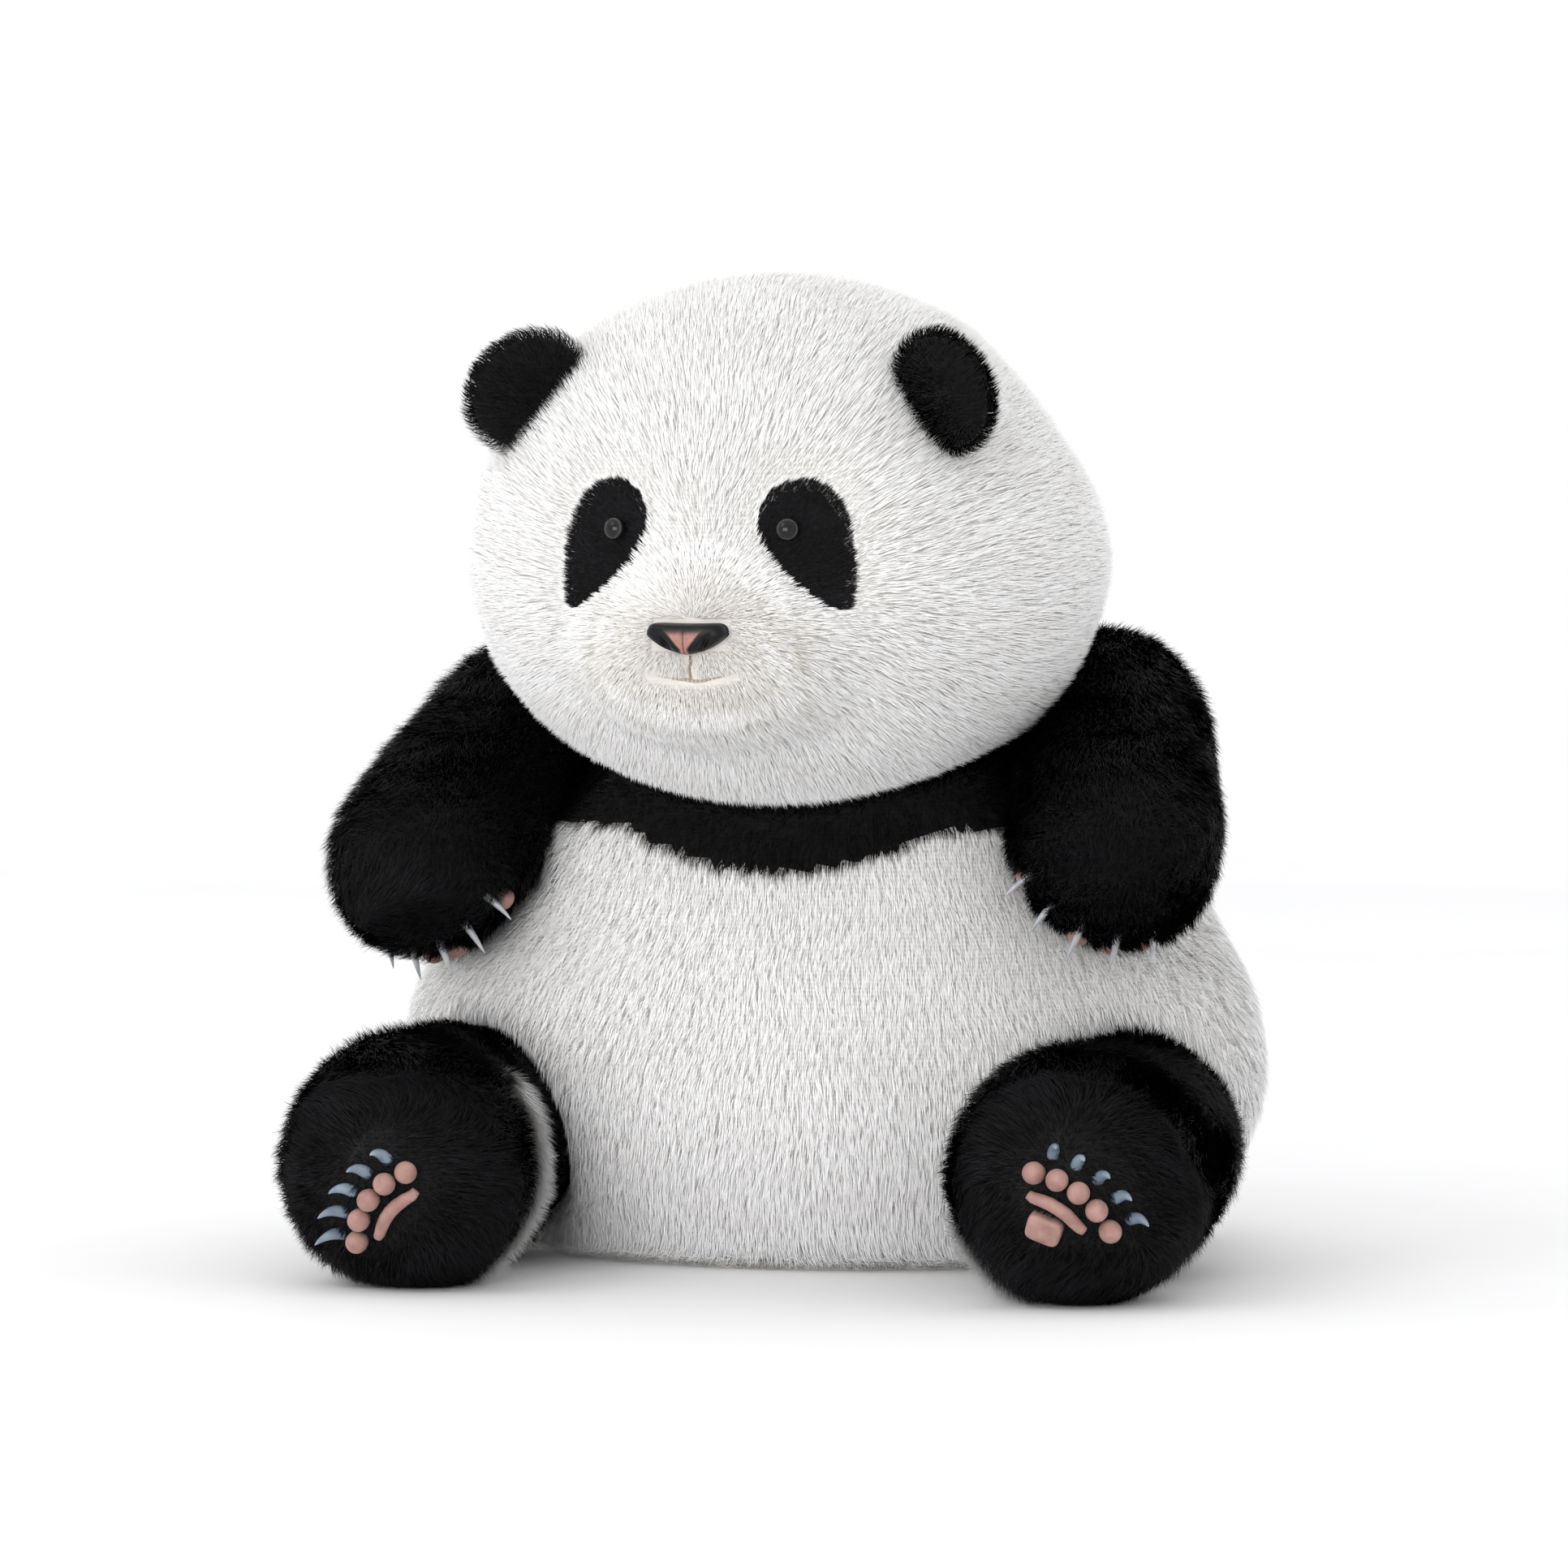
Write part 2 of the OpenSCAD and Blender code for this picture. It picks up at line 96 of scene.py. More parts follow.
def ball(detail):
    """Directions spread evenly all round, with the triangles between them."""
    bm = bmesh.new()
    bmesh.ops.create_icosphere(bm, subdivisions=detail, radius=1)
    ways = np.array([v.co for v in bm.verts])
    triangles = np.array([[v.index for v in f.verts] for f in bm.faces])
    bm.free()
    return ways, triangles


def smoothed(points, triangles, rounds):
    """Points eased towards the middle of their neighbours, which rounds off the CAD's sharp creases."""
    a = triangles[:, [0, 1, 2]].ravel()
    b = triangles[:, [1, 2, 0]].ravel()
    count = np.bincount(a, minlength=len(points))[:, None]
    for _ in range(rounds):
        total = np.stack([np.bincount(a, points[b, axis], len(points)) for axis in range(3)], 1)
        points = total / count
    return points


def vertex_normals(points, triangles):
    corner = points[triangles]
    across = np.cross(corner[:, 1] - corner[:, 0], corner[:, 2] - corner[:, 0])
    total = np.zeros_like(points)
    for i in range(3):
        for axis in range(3):
            total[:, axis] += np.bincount(triangles[:, i], across[:, axis], len(points))
    return unit(total)


SKIN_INSET = 1.0 * MM   # the backing lies this far inside the CAD's outline, under the pile


def hull_tree(nodes):
    """A search tree over the tight wrap round all corners of some CAD nodes."""
    wrap = bmesh.new()
    for node in nodes:
        for p in node_points(node):
            wrap.verts.new(p)
    made = bmesh.ops.convex_hull(wrap, input=wrap.verts)
    inside = set(made["geom_interior"]) | set(made["geom_unused"])
    bmesh.ops.delete(wrap, geom=[v for v in inside if isinstance(v, bmesh.types.BMVert)])
    tree = BVHTree.FromBMesh(wrap)
    wrap.free()
    return tree


def cast_skin(nodes, centre, detail=6, rounds=6, wrapped=False):
    """A closed skin over CAD nodes: the first place met from far outside, all round a centre."""
    tree = hull_tree(nodes) if wrapped else cad_tree(nodes)
    ways, triangles = ball(detail)
    far = 0.6
    points = np.empty_like(ways)
    for i, way in enumerate(ways):
        met = tree.ray_cast(Vector(centre + way * far), Vector(-way))[0]
        points[i] = centre if met is None else met
    points = smoothed(points, triangles, rounds)
    points = points - vertex_normals(points, triangles) * SKIN_INSET
    return points, triangles


def room_round(points, nodes, reach=12 * MM):
    """How far each point is from some CAD nodes, up to a reach."""
    tree = cad_tree(nodes)
    room = np.full(len(points), reach)
    for i, p in enumerate(points):
        met = tree.find_nearest(Vector(p), reach)
        if met[0] is not None:
            room[i] = met[3]
    return room


def ease(low, high, value):
    """0 below low, 1 above high, smooth between."""
    t = np.clip((value - low) / (high - low), 0, 1)
    return t * t * (3 - 2 * t)


def linear(hex_colour):
    """An sRGB hex colour as linear red, green, blue and alpha."""
    parts = [int(hex_colour[i:i + 2], 16) / 255 for i in (1, 3, 5)]
    return [c / 12.92 if c <= 0.04045 else ((c + 0.055) / 1.055) ** 2.4 for c in parts] + [1.0]


def add_node(tree, kind, settings=None, **values):
    """Adds a shader node. A value may be a number, a colour or another node's output socket."""
    made = tree.nodes.new(kind)
    for name, value in (settings or {}).items():
        setattr(made, name, value)
    for name, value in values.items():
        socket = made.inputs[int(name[1:])] if name[0] == "_" else made.inputs[name.replace("_", " ")]
        if isinstance(value, bpy.types.NodeSocket):
            tree.links.new(value, socket)
        else:
            socket.default_value = value
    return made


def ramp(tree, factor, *stops):
    """A colour ramp between (place, hex colour) stops."""
    made = add_node(tree, "ShaderNodeValToRGB", Fac=factor)
    for i, (place, colour) in enumerate(stops):
        element = made.color_ramp.elements[i] if i < 2 else made.color_ramp.elements.new(place)
        element.position = place
        element.color = linear(colour)
    return made.outputs["Color"]


def new_material(name, **values):
    """A material and the tree of its one Principled shader. Values are the shader's own sockets."""
    made = bpy.data.materials.new(name)
    made.use_nodes = True
    shader = made.node_tree.nodes["Principled BSDF"]
    for socket, value in values.items():
        shader.inputs[socket.replace("_", " ")].default_value = value
    return made


def knit_cloth(name, dark, light):
    """Warp-knitted backing: rows of small loops 1.4 mm apart, blotched by uneven dye."""
    made = new_material(name, Roughness=0.92, Sheen_Weight=0.25, Sheen_Roughness=0.4)
    tree = made.node_tree
    where = add_node(tree, "ShaderNodeTexCoord").outputs["Object"]
    rows = add_node(tree, "ShaderNodeTexWave", {"wave_type": "BANDS", "bands_direction": "Z"},
                    Vector=where, Scale=2 * math.pi / 20 / (1.4 * MM), Distortion=2.0, Detail=2.0)
    blotches = add_node(tree, "ShaderNodeTexNoise", Vector=where, Scale=60.0, Detail=3.0)
    mixed = add_node(tree, "ShaderNodeMath", {"operation": "MULTIPLY"},
                     _0=rows.outputs["Fac"], _1=blotches.outputs["Fac"])
    colour = ramp(tree, mixed.outputs[0], (0.1, dark), (0.6, light))
    tree.links.new(colour, tree.nodes["Principled BSDF"].inputs["Base Color"])
    return made


def speckled(name, dark, light, scale, detail=4.0, **values):
    """A moulded or woven material with fine uneven colour."""
    made = new_material(name, **values)
    tree = made.node_tree
    where = add_node(tree, "ShaderNodeTexCoord").outputs["Object"]
    speck = add_node(tree, "ShaderNodeTexNoise", Vector=where, Scale=scale, Detail=detail)
    tree.links.new(ramp(tree, speck.outputs["Fac"], (0.3, dark), (0.7, light)),
                   tree.nodes["Principled BSDF"].inputs["Base Color"])
    return made


def new_piece(name, points, faces, materials, body):
    """A mesh piece in its place, riding on a CAD body."""
    mesh = bpy.data.meshes.new(name)
    mesh.from_pydata([tuple(p) for p in points], [], [tuple(int(i) for i in f) for f in faces])
    mesh.polygons.foreach_set("use_smooth", [True] * len(mesh.polygons))
    mesh.update()
    for material in materials:
        mesh.materials.append(material)
    piece = bpy.data.objects.new(name, mesh)
    bpy.context.scene.collection.objects.link(piece)
    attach(piece, body)
    return piece


def shell_over(points, triangles, chosen, lift, thick):
    """A closed shell standing on the chosen triangles of a skin."""
    normals = vertex_normals(points, triangles)
    faces = triangles[chosen]
    used, flat = np.unique(faces, return_inverse=True)
    flat = flat.reshape(faces.shape)
    low = points[used] + normals[used] * lift
    high = low + normals[used] * thick
    count = len(used)
    edges = {}
    for face in flat:
        for a, b in ((face[0], face[1]), (face[1], face[2]), (face[2], face[0])):
            edges[(a, b)] = True
    rim = [(a, b, b + count, a + count) for a, b in edges if (b, a) not in edges]
    faces = [tuple(f[::-1]) for f in flat] + [tuple(f + count) for f in flat] + rim
    return np.vstack([low, high]), faces


white_cloth = knit_cloth("white knitted backing", "#dddbd7", "#f3f2ef")
black_cloth = knit_cloth("black knitted backing", "#060607", "#121214")

torso_low, torso_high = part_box("torso_cover")
panel_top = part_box("base_panel")[1].z
torso_centre = np.array([0, (torso_low.y + torso_high.y) / 2, 95 * MM])
torso, torso_faces = cast_skin(["torso_cover", "shoulder_yoke", "base_panel"], torso_centre, 6, 5)
limb_nodes = [f"{limb}_{side}_cover" for limb in ("arm", "leg") for side in ("left", "right")]
wrapped, _ = cast_skin(["torso_cover", "shoulder_yoke", "base_panel"], torso_centre, 6, 5, True)
stretch = ease(84 * MM, 104 * MM, torso[:, 2]) * ease(
    3 * MM, 12 * MM, room_round(wrapped, limb_nodes + ["head_cover"]))
torso = torso + (wrapped - torso) * stretch[:, None]
torso[:, 2] = np.maximum(torso[:, 2], panel_top + 0.2 * MM)

YOKE_FRONT_Z = 139 * MM     # height of the yoke's seam in the middle of the chest
YOKE_SIDE_RISE = 14 * MM    # how far the seam has risen where the arms begin
YOKE_SIDE_X = 55 * MM


def above_yoke_seam(points):
    rise = np.minimum((points[:, 0] / YOKE_SIDE_X) ** 2, 1)
    return points[:, 2] > YOKE_FRONT_Z + YOKE_SIDE_RISE * rise


torso_skin = new_piece("torso_skin", torso, torso_faces, [white_cloth], "torso")
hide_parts("torso_cover", "torso_stuffing")

in_yoke = above_yoke_seam(torso[torso_faces].mean(1))
yoke_points, yoke_faces = shell_over(torso, torso_faces, in_yoke, 0.1 * MM, 0.7 * MM)
yoke_skin = new_piece("yoke_skin", yoke_points, yoke_faces, [black_cloth], "torso")
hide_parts("shoulder_yoke")

# ---- Pile -------------------------------------------------------------------------------------
# Acrylic pile knitted into the backing. Every tuft here is a strand of its own: it leaves the cloth
# nearly upright, then lies over the way the cloth was brushed. Each is one of a few shades.
STRAND_W = 0.36 * MM
PER_MM2 = 1.6
PIECE_STRANDS = 60000       # most strands in one piece
# The foot shades are darker than the tip shades: painted shade deep in the pile.
FOOT_SHADOW_TONES = 2             # how many shades of each pile are for the feet of its strands
FLOOR = 0.4 * MM            # no strand goes lower than this
WHITE_GLINT = 0.2           # white strands blend; black ones catch the light one by one
BLACK_GLINT = 0.6
TOUCHING = 1.3 * MM         # nothing grows where another piece is nearer than this


def uncrushed(room, free):
    """The share of its length that pile keeps where another piece is near."""
    return 0.25 + 0.75 * ease(1 * MM, free, room)


def pile_shades(name, roots, tips, **values):
    """Plain shades: feet painted darker than tips, as shade deep in the pile; tones vary by strand."""
    made = []
    for i, colour in enumerate(roots + tips):
        shade = new_material(f"{name} {i + 1}", Base_Color=linear(colour), **values)
        made.append(shade)
    return made


def waves(points, length, seed):
    """A smooth random direction at every point, changing over the given length."""
    dice = np.random.default_rng(seed)
    total = np.zeros_like(points)
    for _ in range(5):
        way = unit(dice.normal(size=3)) * (2 * math.pi / length) * dice.uniform(0.7, 1.3)
        push = dice.normal(size=3)
        total += np.sin(points @ way + dice.uniform(0, 6.3))[:, None] * push
    return total / 3


def sow(points, triangles, thickness=1.0):
    """Random roots all over a skin, with the way each faces."""
    corner = points[triangles]
    across = np.cross(corner[:, 1] - corner[:, 0], corner[:, 2] - corner[:, 0])
    area = np.linalg.norm(across, axis=1) / 2
    wanted = area / MM ** 2 * PER_MM2 * thickness
    count = np.floor(wanted + chance.uniform(size=len(wanted))).astype(int)
    face = np.repeat(np.arange(len(triangles)), count)
    u, v = chance.uniform(size=(2, len(face)))
    over = u + v > 1
    u, v = np.where(over, 1 - u, u), np.where(over, 1 - v, v)
    weight = np.stack([1 - u - v, u, v], 1)[:, :, None]
    normals = vertex_normals(points, triangles)
    roots = (points[triangles[face]] * weight).sum(1)
    return roots, unit((normals[triangles[face]] * weight).sum(1))


def grow(roots, normals, flow, length, stand=0.7, wild=0.13, gather=0.18, tuft=14,
         glint=WHITE_GLINT):
    """Strands from roots, lying along a flow. Returns corners, five to a strand, then its facing."""
    count = len(roots)
    normals = unit(normals)
    along = unit(flow - (flow * normals).sum(1)[:, None] * normals)
    wind = wild * (waves(roots, 34 * MM, 5) + 0.7 * waves(roots, 9 * MM, 6))
    rough = chance.normal(size=(2, count, 3)) * wild * 0.55
    first = unit(normals * (stand + 0.25) + along * 0.45 + wind * 0.5 + rough[0])
    second = unit(normals * stand * 0.5 + along + wind + rough[1])
    reach = (length * chance.uniform(0.72, 1.1, count))[:, None]
    middle = roots + first * reach * 0.5
    tip = middle + second * reach * 0.5
    if gather and count > tuft:
        leaders = chance.permutation(count)[:count // tuft]
        tree = kdtree.KDTree(len(leaders))
        for i, leader in enumerate(leaders):
            tree.insert(roots[leader], i)
        tree.balance()
        near = leaders[[tree.find(p)[1] for p in roots]]
        tip += (tip[near] - tip) * gather
        middle += (middle[near] - middle) * gather * 0.25
    middle[:, 2] = np.maximum(middle[:, 2], FLOOR)
    tip[:, 2] = np.maximum(tip[:, 2], FLOOR * 1.5)
    axis = unit(tip - roots)
    side = unit(np.cross(along, normals))
    roll = chance.uniform(-0.7, 0.7, count)[:, None]
    side = unit(side * np.cos(roll) + np.cross(axis, side) * np.sin(roll))
    side *= np.sign((np.cross(side, axis) * normals).sum(1))[:, None]
    width = (np.minimum(STRAND_W / math.sqrt(PER_MM2), length[:, None] * 0.12)
             * chance.uniform(0.75, 1.2, (count, 1)))
    foot = roots - normals * 0.3 * MM
    return np.stack([
        foot - side * width * 0.5, foot + side * width * 0.5,
        middle - side * width * 0.42, middle + side * width * 0.42, tip,
        unit(normals + np.cross(side, axis) * glint + rough[0] * glint * 2),
    ], 1)


def pile_piece(name, strands, shades, body):
    """Strands as one or more pieces. The first shades are for the feet, the others for the tips."""
    tip_shades = len(shades) - FOOT_SHADOW_TONES
    order = np.argsort(strands[:, 0, 0], kind="stable")
    parts = max(1, math.ceil(len(strands) / PIECE_STRANDS))
    for part, chosen in enumerate(np.array_split(order, parts)):
        corners, faces_way = strands[chosen, :5], strands[chosen, 5]
        count = len(corners)
        mesh = bpy.data.meshes.new(name)
        mesh.vertices.add(count * 5)
        mesh.vertices.foreach_set("co", corners.astype(np.float32).ravel())
        first = np.arange(count)[:, None] * 5
        loops = np.hstack([first + [0, 1, 3, 2], first + [2, 3, 4]])
        mesh.loops.add(count * 7)
        mesh.loops.foreach_set("vertex_index", loops.astype(np.int32).ravel())
        mesh.polygons.add(count * 2)
        starts = np.arange(count)[:, None] * 7 + [0, 4]
        mesh.polygons.foreach_set("loop_start", starts.astype(np.int32).ravel())
        patch = waves(corners[:, 0], 26 * MM, 9)[:, 0] + chance.normal(size=count) * 0.8
        level = np.argsort(np.argsort(patch)) / max(count, 1)
        shade = np.stack([(level * FOOT_SHADOW_TONES).astype(int),
                          FOOT_SHADOW_TONES + (level * tip_shades).astype(int)], 1)
        mesh.polygons.foreach_set("material_index", shade.astype(np.int32).ravel())
        mesh.polygons.foreach_set("use_smooth", np.ones(count * 2, bool))
        mesh.update(calc_edges=True)
        mesh.normals_split_custom_set_from_vertices(np.repeat(faces_way, 5, 0))
        for material in shades:
            mesh.materials.append(material)
        piece = bpy.data.objects.new(name if parts == 1 else f"{name}_{part + 1}", mesh)
        bpy.context.scene.collection.objects.link(piece)
        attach(piece, body)


WHITE_LOOK = dict(Roughness=0.7, Sheen_Weight=0.15, Sheen_Roughness=0.4, Specular_IOR_Level=0.3)
BLACK_LOOK = dict(Roughness=0.5, Specular_IOR_Level=0.08)
# In every pile the first two colours, for the strand feet, are darker: painted shade deep in the pile.
white_pile = pile_shades("white acrylic pile", ["#e9e7e4", "#edecea"],
                         ["#f0efee", "#f4f4f3", "#f9f9f9"], **WHITE_LOOK)
# The belly's pile is the white pile painted lighter: painted light against the shade the head and limbs
# cast on it.
lightened_belly_pile = pile_shades("belly pile painted lighter", ["#f2f0ee", "#f5f4f3"],
                         ["#f9f8f8", "#fbfbfb", "#fefefe"], **WHITE_LOOK)
# Ivory pile: the muzzle's cream tint, painted darker still as shade where the fill light falls full on
# it.
ivory_and_shade_pile = pile_shades("ivory pile painted darker", ["#cfcbc5", "#d5d1cb"],
                         ["#d9d6d1", "#dfdcd7", "#e5e3de"], **WHITE_LOOK)
black_pile = pile_shades("black acrylic pile", ["#050506", "#080809"],
                         ["#09090b", "#0e0e10", "#1a191c"], **BLACK_LOOK)

roots, facing = sow(torso, torso_faces)
room = room_round(roots, ["head_cover"] + limb_nodes)
BELLY_PILE = 10 * MM
length = BELLY_PILE * uncrushed(room, 10 * MM)
down = np.tile([0.0, 0.0, -1.0], (len(roots), 1))
out = roots - torso_centre
out[:, 2] = 0
low_down = ease(26 * MM, 4 * MM, roots[:, 2])[:, None]
flow = down * (1 - 0.45 * low_down) + unit(out) * (0.12 + 0.45 * low_down)
seen = (facing[:, 2] > -0.97) & (room > TOUCHING)
dark = above_yoke_seam(roots + waves(roots, 7 * MM, 3) * 0.8 * MM)
for name, chosen, shades, slot in (("torso_pile", seen & ~dark, lightened_belly_pile, "white_plush"),
                                   ("yoke_pile", seen & dark, black_pile, "black_plush")):
    strands = grow(roots[chosen], facing[chosen], flow[chosen], length[chosen],
                   glint=WHITE_GLINT if slot == "white_plush" else BLACK_GLINT)
    pile_piece(name, strands, shades, "torso")

# ---- Tail -------------------------------------------------------------------------------------
# A short stuffed tuft of the same white plush, ladder-stitched to the back of the body.
TAIL_PILE = 11 * MM


def furry_lump(name, node, body, slot, cloth, shades, pile_length, flow_of, **growth):
    """A small stuffed piece and its pile, both shaped from one CAD node."""
    centre = node_points(node).mean(0)
    points, triangles = cast_skin([node], centre, 5, 3)
    skin = new_piece(f"{name}_skin", points, triangles, [cloth], body)
    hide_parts(node)
    roots, facing = sow(points, triangles, 1.3)
    length = np.full(len(roots), pile_length)
    pile_piece(f"{name}_pile", grow(roots, facing, flow_of(roots), length, **growth),
               shades, body)


furry_lump("tail", "tail", "torso", "white_plush", white_cloth, white_pile, TAIL_PILE,
           lambda roots: np.tile([0.0, 0.4, -1.0], (len(roots), 1)))

# ---- Head -------------------------------------------------------------------------------------
# A round, full-cheeked ball of white plush with the muzzle sewn in as an ivory panel. The pile is
# clipped close round the nose and the eyes and brushed back from them.
head_low, head_high = (np.array(v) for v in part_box("head_cover"))
head_centre = (head_low + head_high) / 2
head_half = (head_high - head_low) / 2
nose_points = node_points("nose")
forward = unit((nose_points.mean(0) - head_centre) * [1, 1, 0])
up = np.array([0.0, 0.0, 1.0])
left = np.cross(up, forward)    # the panda's own left


def in_face(points):
    """Places as (to the panda's left, forward, up) from the middle of the head."""
    offset = points - head_centre
    return np.stack([offset @ left, offset @ forward, offset[:, 2]], 1)


def from_face(x, y, z):
    return head_centre + left * x + forward * y + up * z


head, head_faces = cast_skin(["head_cover", "muzzle", "eye_left", "eye_right", "nose_washer"],
                             head_centre, 6, 8)
face = in_face(head)
CHEEK = 6.0 * MM            # how far the cheeks swell past the plain ball
SWELL = 4.0 * MM            # how far the stuffing pushes the cover out all round
TEMPLE = 6.0 * MM           # how much flatter the left temple is stuffed
LEAN = 0.06                 # how far the crown leans over, for each unit of height
cheek = (np.exp(-((np.abs(face[:, 0]) - 74 * MM) / (34 * MM)) ** 2
                - ((face[:, 2] + 22 * MM) / (30 * MM)) ** 2) * ease(-20 * MM, 40 * MM, face[:, 1]))
room = room_round(head, ["torso_cover", "shoulder_yoke"], 30 * MM)
eye_ways = [head - node_points(f"eye_{side}").mean(0) for side in ("left", "right")]
off_eyes = ease(12 * MM, 40 * MM, np.min([np.linalg.norm(way, axis=1) for way in eye_ways], 0))
off_nose = ease(15 * MM, 45 * MM, np.linalg.norm(head - nose_points.mean(0), axis=1))
swell = cheek * (CHEEK - SWELL) + SWELL * ease(6 * MM, 26 * MM, room) * off_eyes * off_nose
temple = ease(-10 * MM, 40 * MM, face[:, 2]) * ease(95 * MM, 60 * MM, face[:, 2])
swell -= TEMPLE * temple * ease(45 * MM, 90 * MM, face[:, 0])
head = head + vertex_normals(head, head_faces) * swell[:, None]
head[:, 0] -= LEAN * np.maximum(face[:, 2] - 10 * MM, 0)

# The outermost corner of each eye, and where the nose and the mouth below it lie.
eye_tips = {}
for side in ("left", "right"):
    points = node_points(f"eye_{side}")
    eye_tips[side] = points[np.argmax(np.linalg.norm(points - head_centre, axis=1))]

nose_face = in_face(nose_points)
nose_top = nose_face[nose_face[:, 1] > nose_face[:, 1].max() - 6 * MM][:, 2].max()
nose_bottom = nose_face[nose_face[:, 1] > nose_face[:, 1].max() - 6 * MM][:, 2].min()
nose_middle = from_face(0, nose_face[:, 1].max(), (nose_top + nose_bottom) / 2)
MOUTH_DROP = 8.5 * MM       # how far the smile lies below the nose
MOUTH_HALF = 15 * MM
MOUTH_DIP = 2.4 * MM


def off_mouth(points):
    """How far places are from the mouth's line: a short upright run, and a shallow smile below it."""
    f = in_face(points)
    smile_z = nose_bottom - MOUTH_DROP + 2.2 * MM * (np.abs(f[:, 0]) / MOUTH_HALF) ** 2
    beyond = np.maximum(np.abs(f[:, 0]) - MOUTH_HALF, 0)
    smile = np.hypot(f[:, 2] - smile_z, beyond)
    over = np.maximum(f[:, 2] - nose_bottom, 0) + np.maximum(nose_bottom - MOUTH_DROP - f[:, 2], 0)
    upright = np.hypot(f[:, 0], over)
    return np.where(f[:, 1] > 0, np.minimum(smile, upright), 1.0)


dip = np.exp(-(off_mouth(head) / (2.6 * MM)) ** 2)
head = head - unit(head - head_centre) * (dip * MOUTH_DIP)[:, None]

head_skin = new_piece("head_skin", head, head_faces, [white_cloth], "head")
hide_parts("head_cover", "head_stuffing")

muzzle_face = in_face(node_points("muzzle"))
muzzle_mid = (muzzle_face.min(0) + muzzle_face.max(0)) / 2
muzzle_half = (muzzle_face.max(0) - muzzle_face.min(0)) / 2


def in_muzzle(points, grow_by=0.0):
    f = in_face(points)
    across = (f[:, 0] - muzzle_mid[0]) / (muzzle_half[0] + grow_by)
    upward = (f[:, 2] - muzzle_mid[2]) / (muzzle_half[2] + grow_by)
    return (across ** 2 + upward ** 2 < 1) & (f[:, 1] > 0)


# The patch round each eye: an egg leaning down and outwards, blunt at the top.
PATCH_LEAN = math.radians(27)
PATCH_LONG = 23.0 * MM
PATCH_WIDE = 13.2 * MM
PATCH_FROM_EYE = np.array([5.5, -6.5]) * MM     # the patch's middle from the eye, out and up


def patch_depth(points):
    """Below 1 inside either eye patch, rising outside."""
    f = in_face(points)
    eye = np.mean([np.abs(in_face(tip[None])[0]) for tip in eye_tips.values()], 0)
    eye_z = in_face(eye_tips["left"][None])[0][2]
    x = np.abs(f[:, 0]) - eye[0] - PATCH_FROM_EYE[0]
    z = f[:, 2] - eye_z - PATCH_FROM_EYE[1]
    long = (-x * math.sin(PATCH_LEAN) + z * math.cos(PATCH_LEAN)) / PATCH_LONG
    wide = x * math.cos(PATCH_LEAN) + z * math.sin(PATCH_LEAN)
    taper = PATCH_WIDE * (1 + 0.4 * np.clip(long, -1, 1))
    depth = long ** 2 + (wide / taper) ** 2
    return np.where(f[:, 1] > 0, depth, 9.0)


centres = head[head_faces].mean(1)
# The ivory backing is the cream tint too, painted darker as shade where it shows through the short pile.
ivory_and_shade_cloth = knit_cloth("ivory backing painted darker", "#d2cdc6", "#dad5ce")
muzzle_points, shell = shell_over(head, head_faces, in_muzzle(centres) & (patch_depth(centres) > 1.3),
                                  0.1 * MM, 0.6 * MM)
muzzle_skin = new_piece("muzzle_skin", muzzle_points, shell, [ivory_and_shade_cloth], "head")
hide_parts("muzzle")
for side, sign in (("left", 1), ("right", -1)):
    chosen = (patch_depth(centres) < 0.8) & (in_face(centres)[:, 0] * sign > 0)
    points, shell = shell_over(head, head_faces, chosen, 0.1 * MM, 0.7 * MM)
    patch = new_piece(f"eye_patch_{side}_skin", points, shell, [black_cloth], "head")
    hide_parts(f"eye_patch_{side}")

EYE_R = 3.9 * MM
HEAD_PILE = 9.5 * MM
CLIPPED = 4.0 * MM          # pile beside the nose and inside the eye patches
roots, facing = sow(head, head_faces, 1.1)
close_roots, close_facing = sow(head, head_faces, 2.5)
close = ((patch_depth(close_roots) < 1.1)
         | (np.linalg.norm(close_roots - nose_middle, axis=1) < 34 * MM))
roots = np.vstack([roots, close_roots[close]])
facing = np.vstack([facing, close_facing[close]])
face = in_face(roots)
room = room_round(roots, ["torso_cover", "shoulder_yoke"])
from_nose = np.linalg.norm(roots - nose_middle, axis=1)
to_eye = np.min([np.linalg.norm(roots - tip, axis=1) for tip in eye_tips.values()], 0)
patch = patch_depth(roots + waves(roots, 4 * MM, 4) * 0.4 * MM)
cheeks = ease(45 * MM, 95 * MM, np.abs(face[:, 0])) * ease(25 * MM, -25 * MM, face[:, 2])
length = HEAD_PILE * (1 + 0.25 * cheeks)
length = CLIPPED + (length - CLIPPED) * ease(12 * MM, 60 * MM, from_nose)
length = np.minimum(length, 4.2 * MM + 5 * MM * ease(1.0, 2.6, patch))
length = np.where(patch < 1, CLIPPED, length)
length = length * uncrushed(room, 9 * MM)
length = length * (0.4 + 0.6 * ease(0.5 * MM, 4 * MM, off_mouth(roots)))
length = length * (0.35 + 0.65 * ease(3.5 * MM, 8 * MM, to_eye))
flow = roots - nose_middle
flow[:, 2] -= 8 * MM + 30 * MM * ease(-30 * MM, -75 * MM, face[:, 2])
nose_hole = ((np.abs(face[:, 0]) < 12.5 * MM) & (face[:, 2] > nose_bottom + 1.5 * MM)
             & (face[:, 2] < nose_top - 0.5 * MM) & (face[:, 1] > 60 * MM))
seen = (room > TOUCHING) & (to_eye > 3.6 * MM) & ~nose_hole & (off_mouth(roots) > 0.8 * MM)
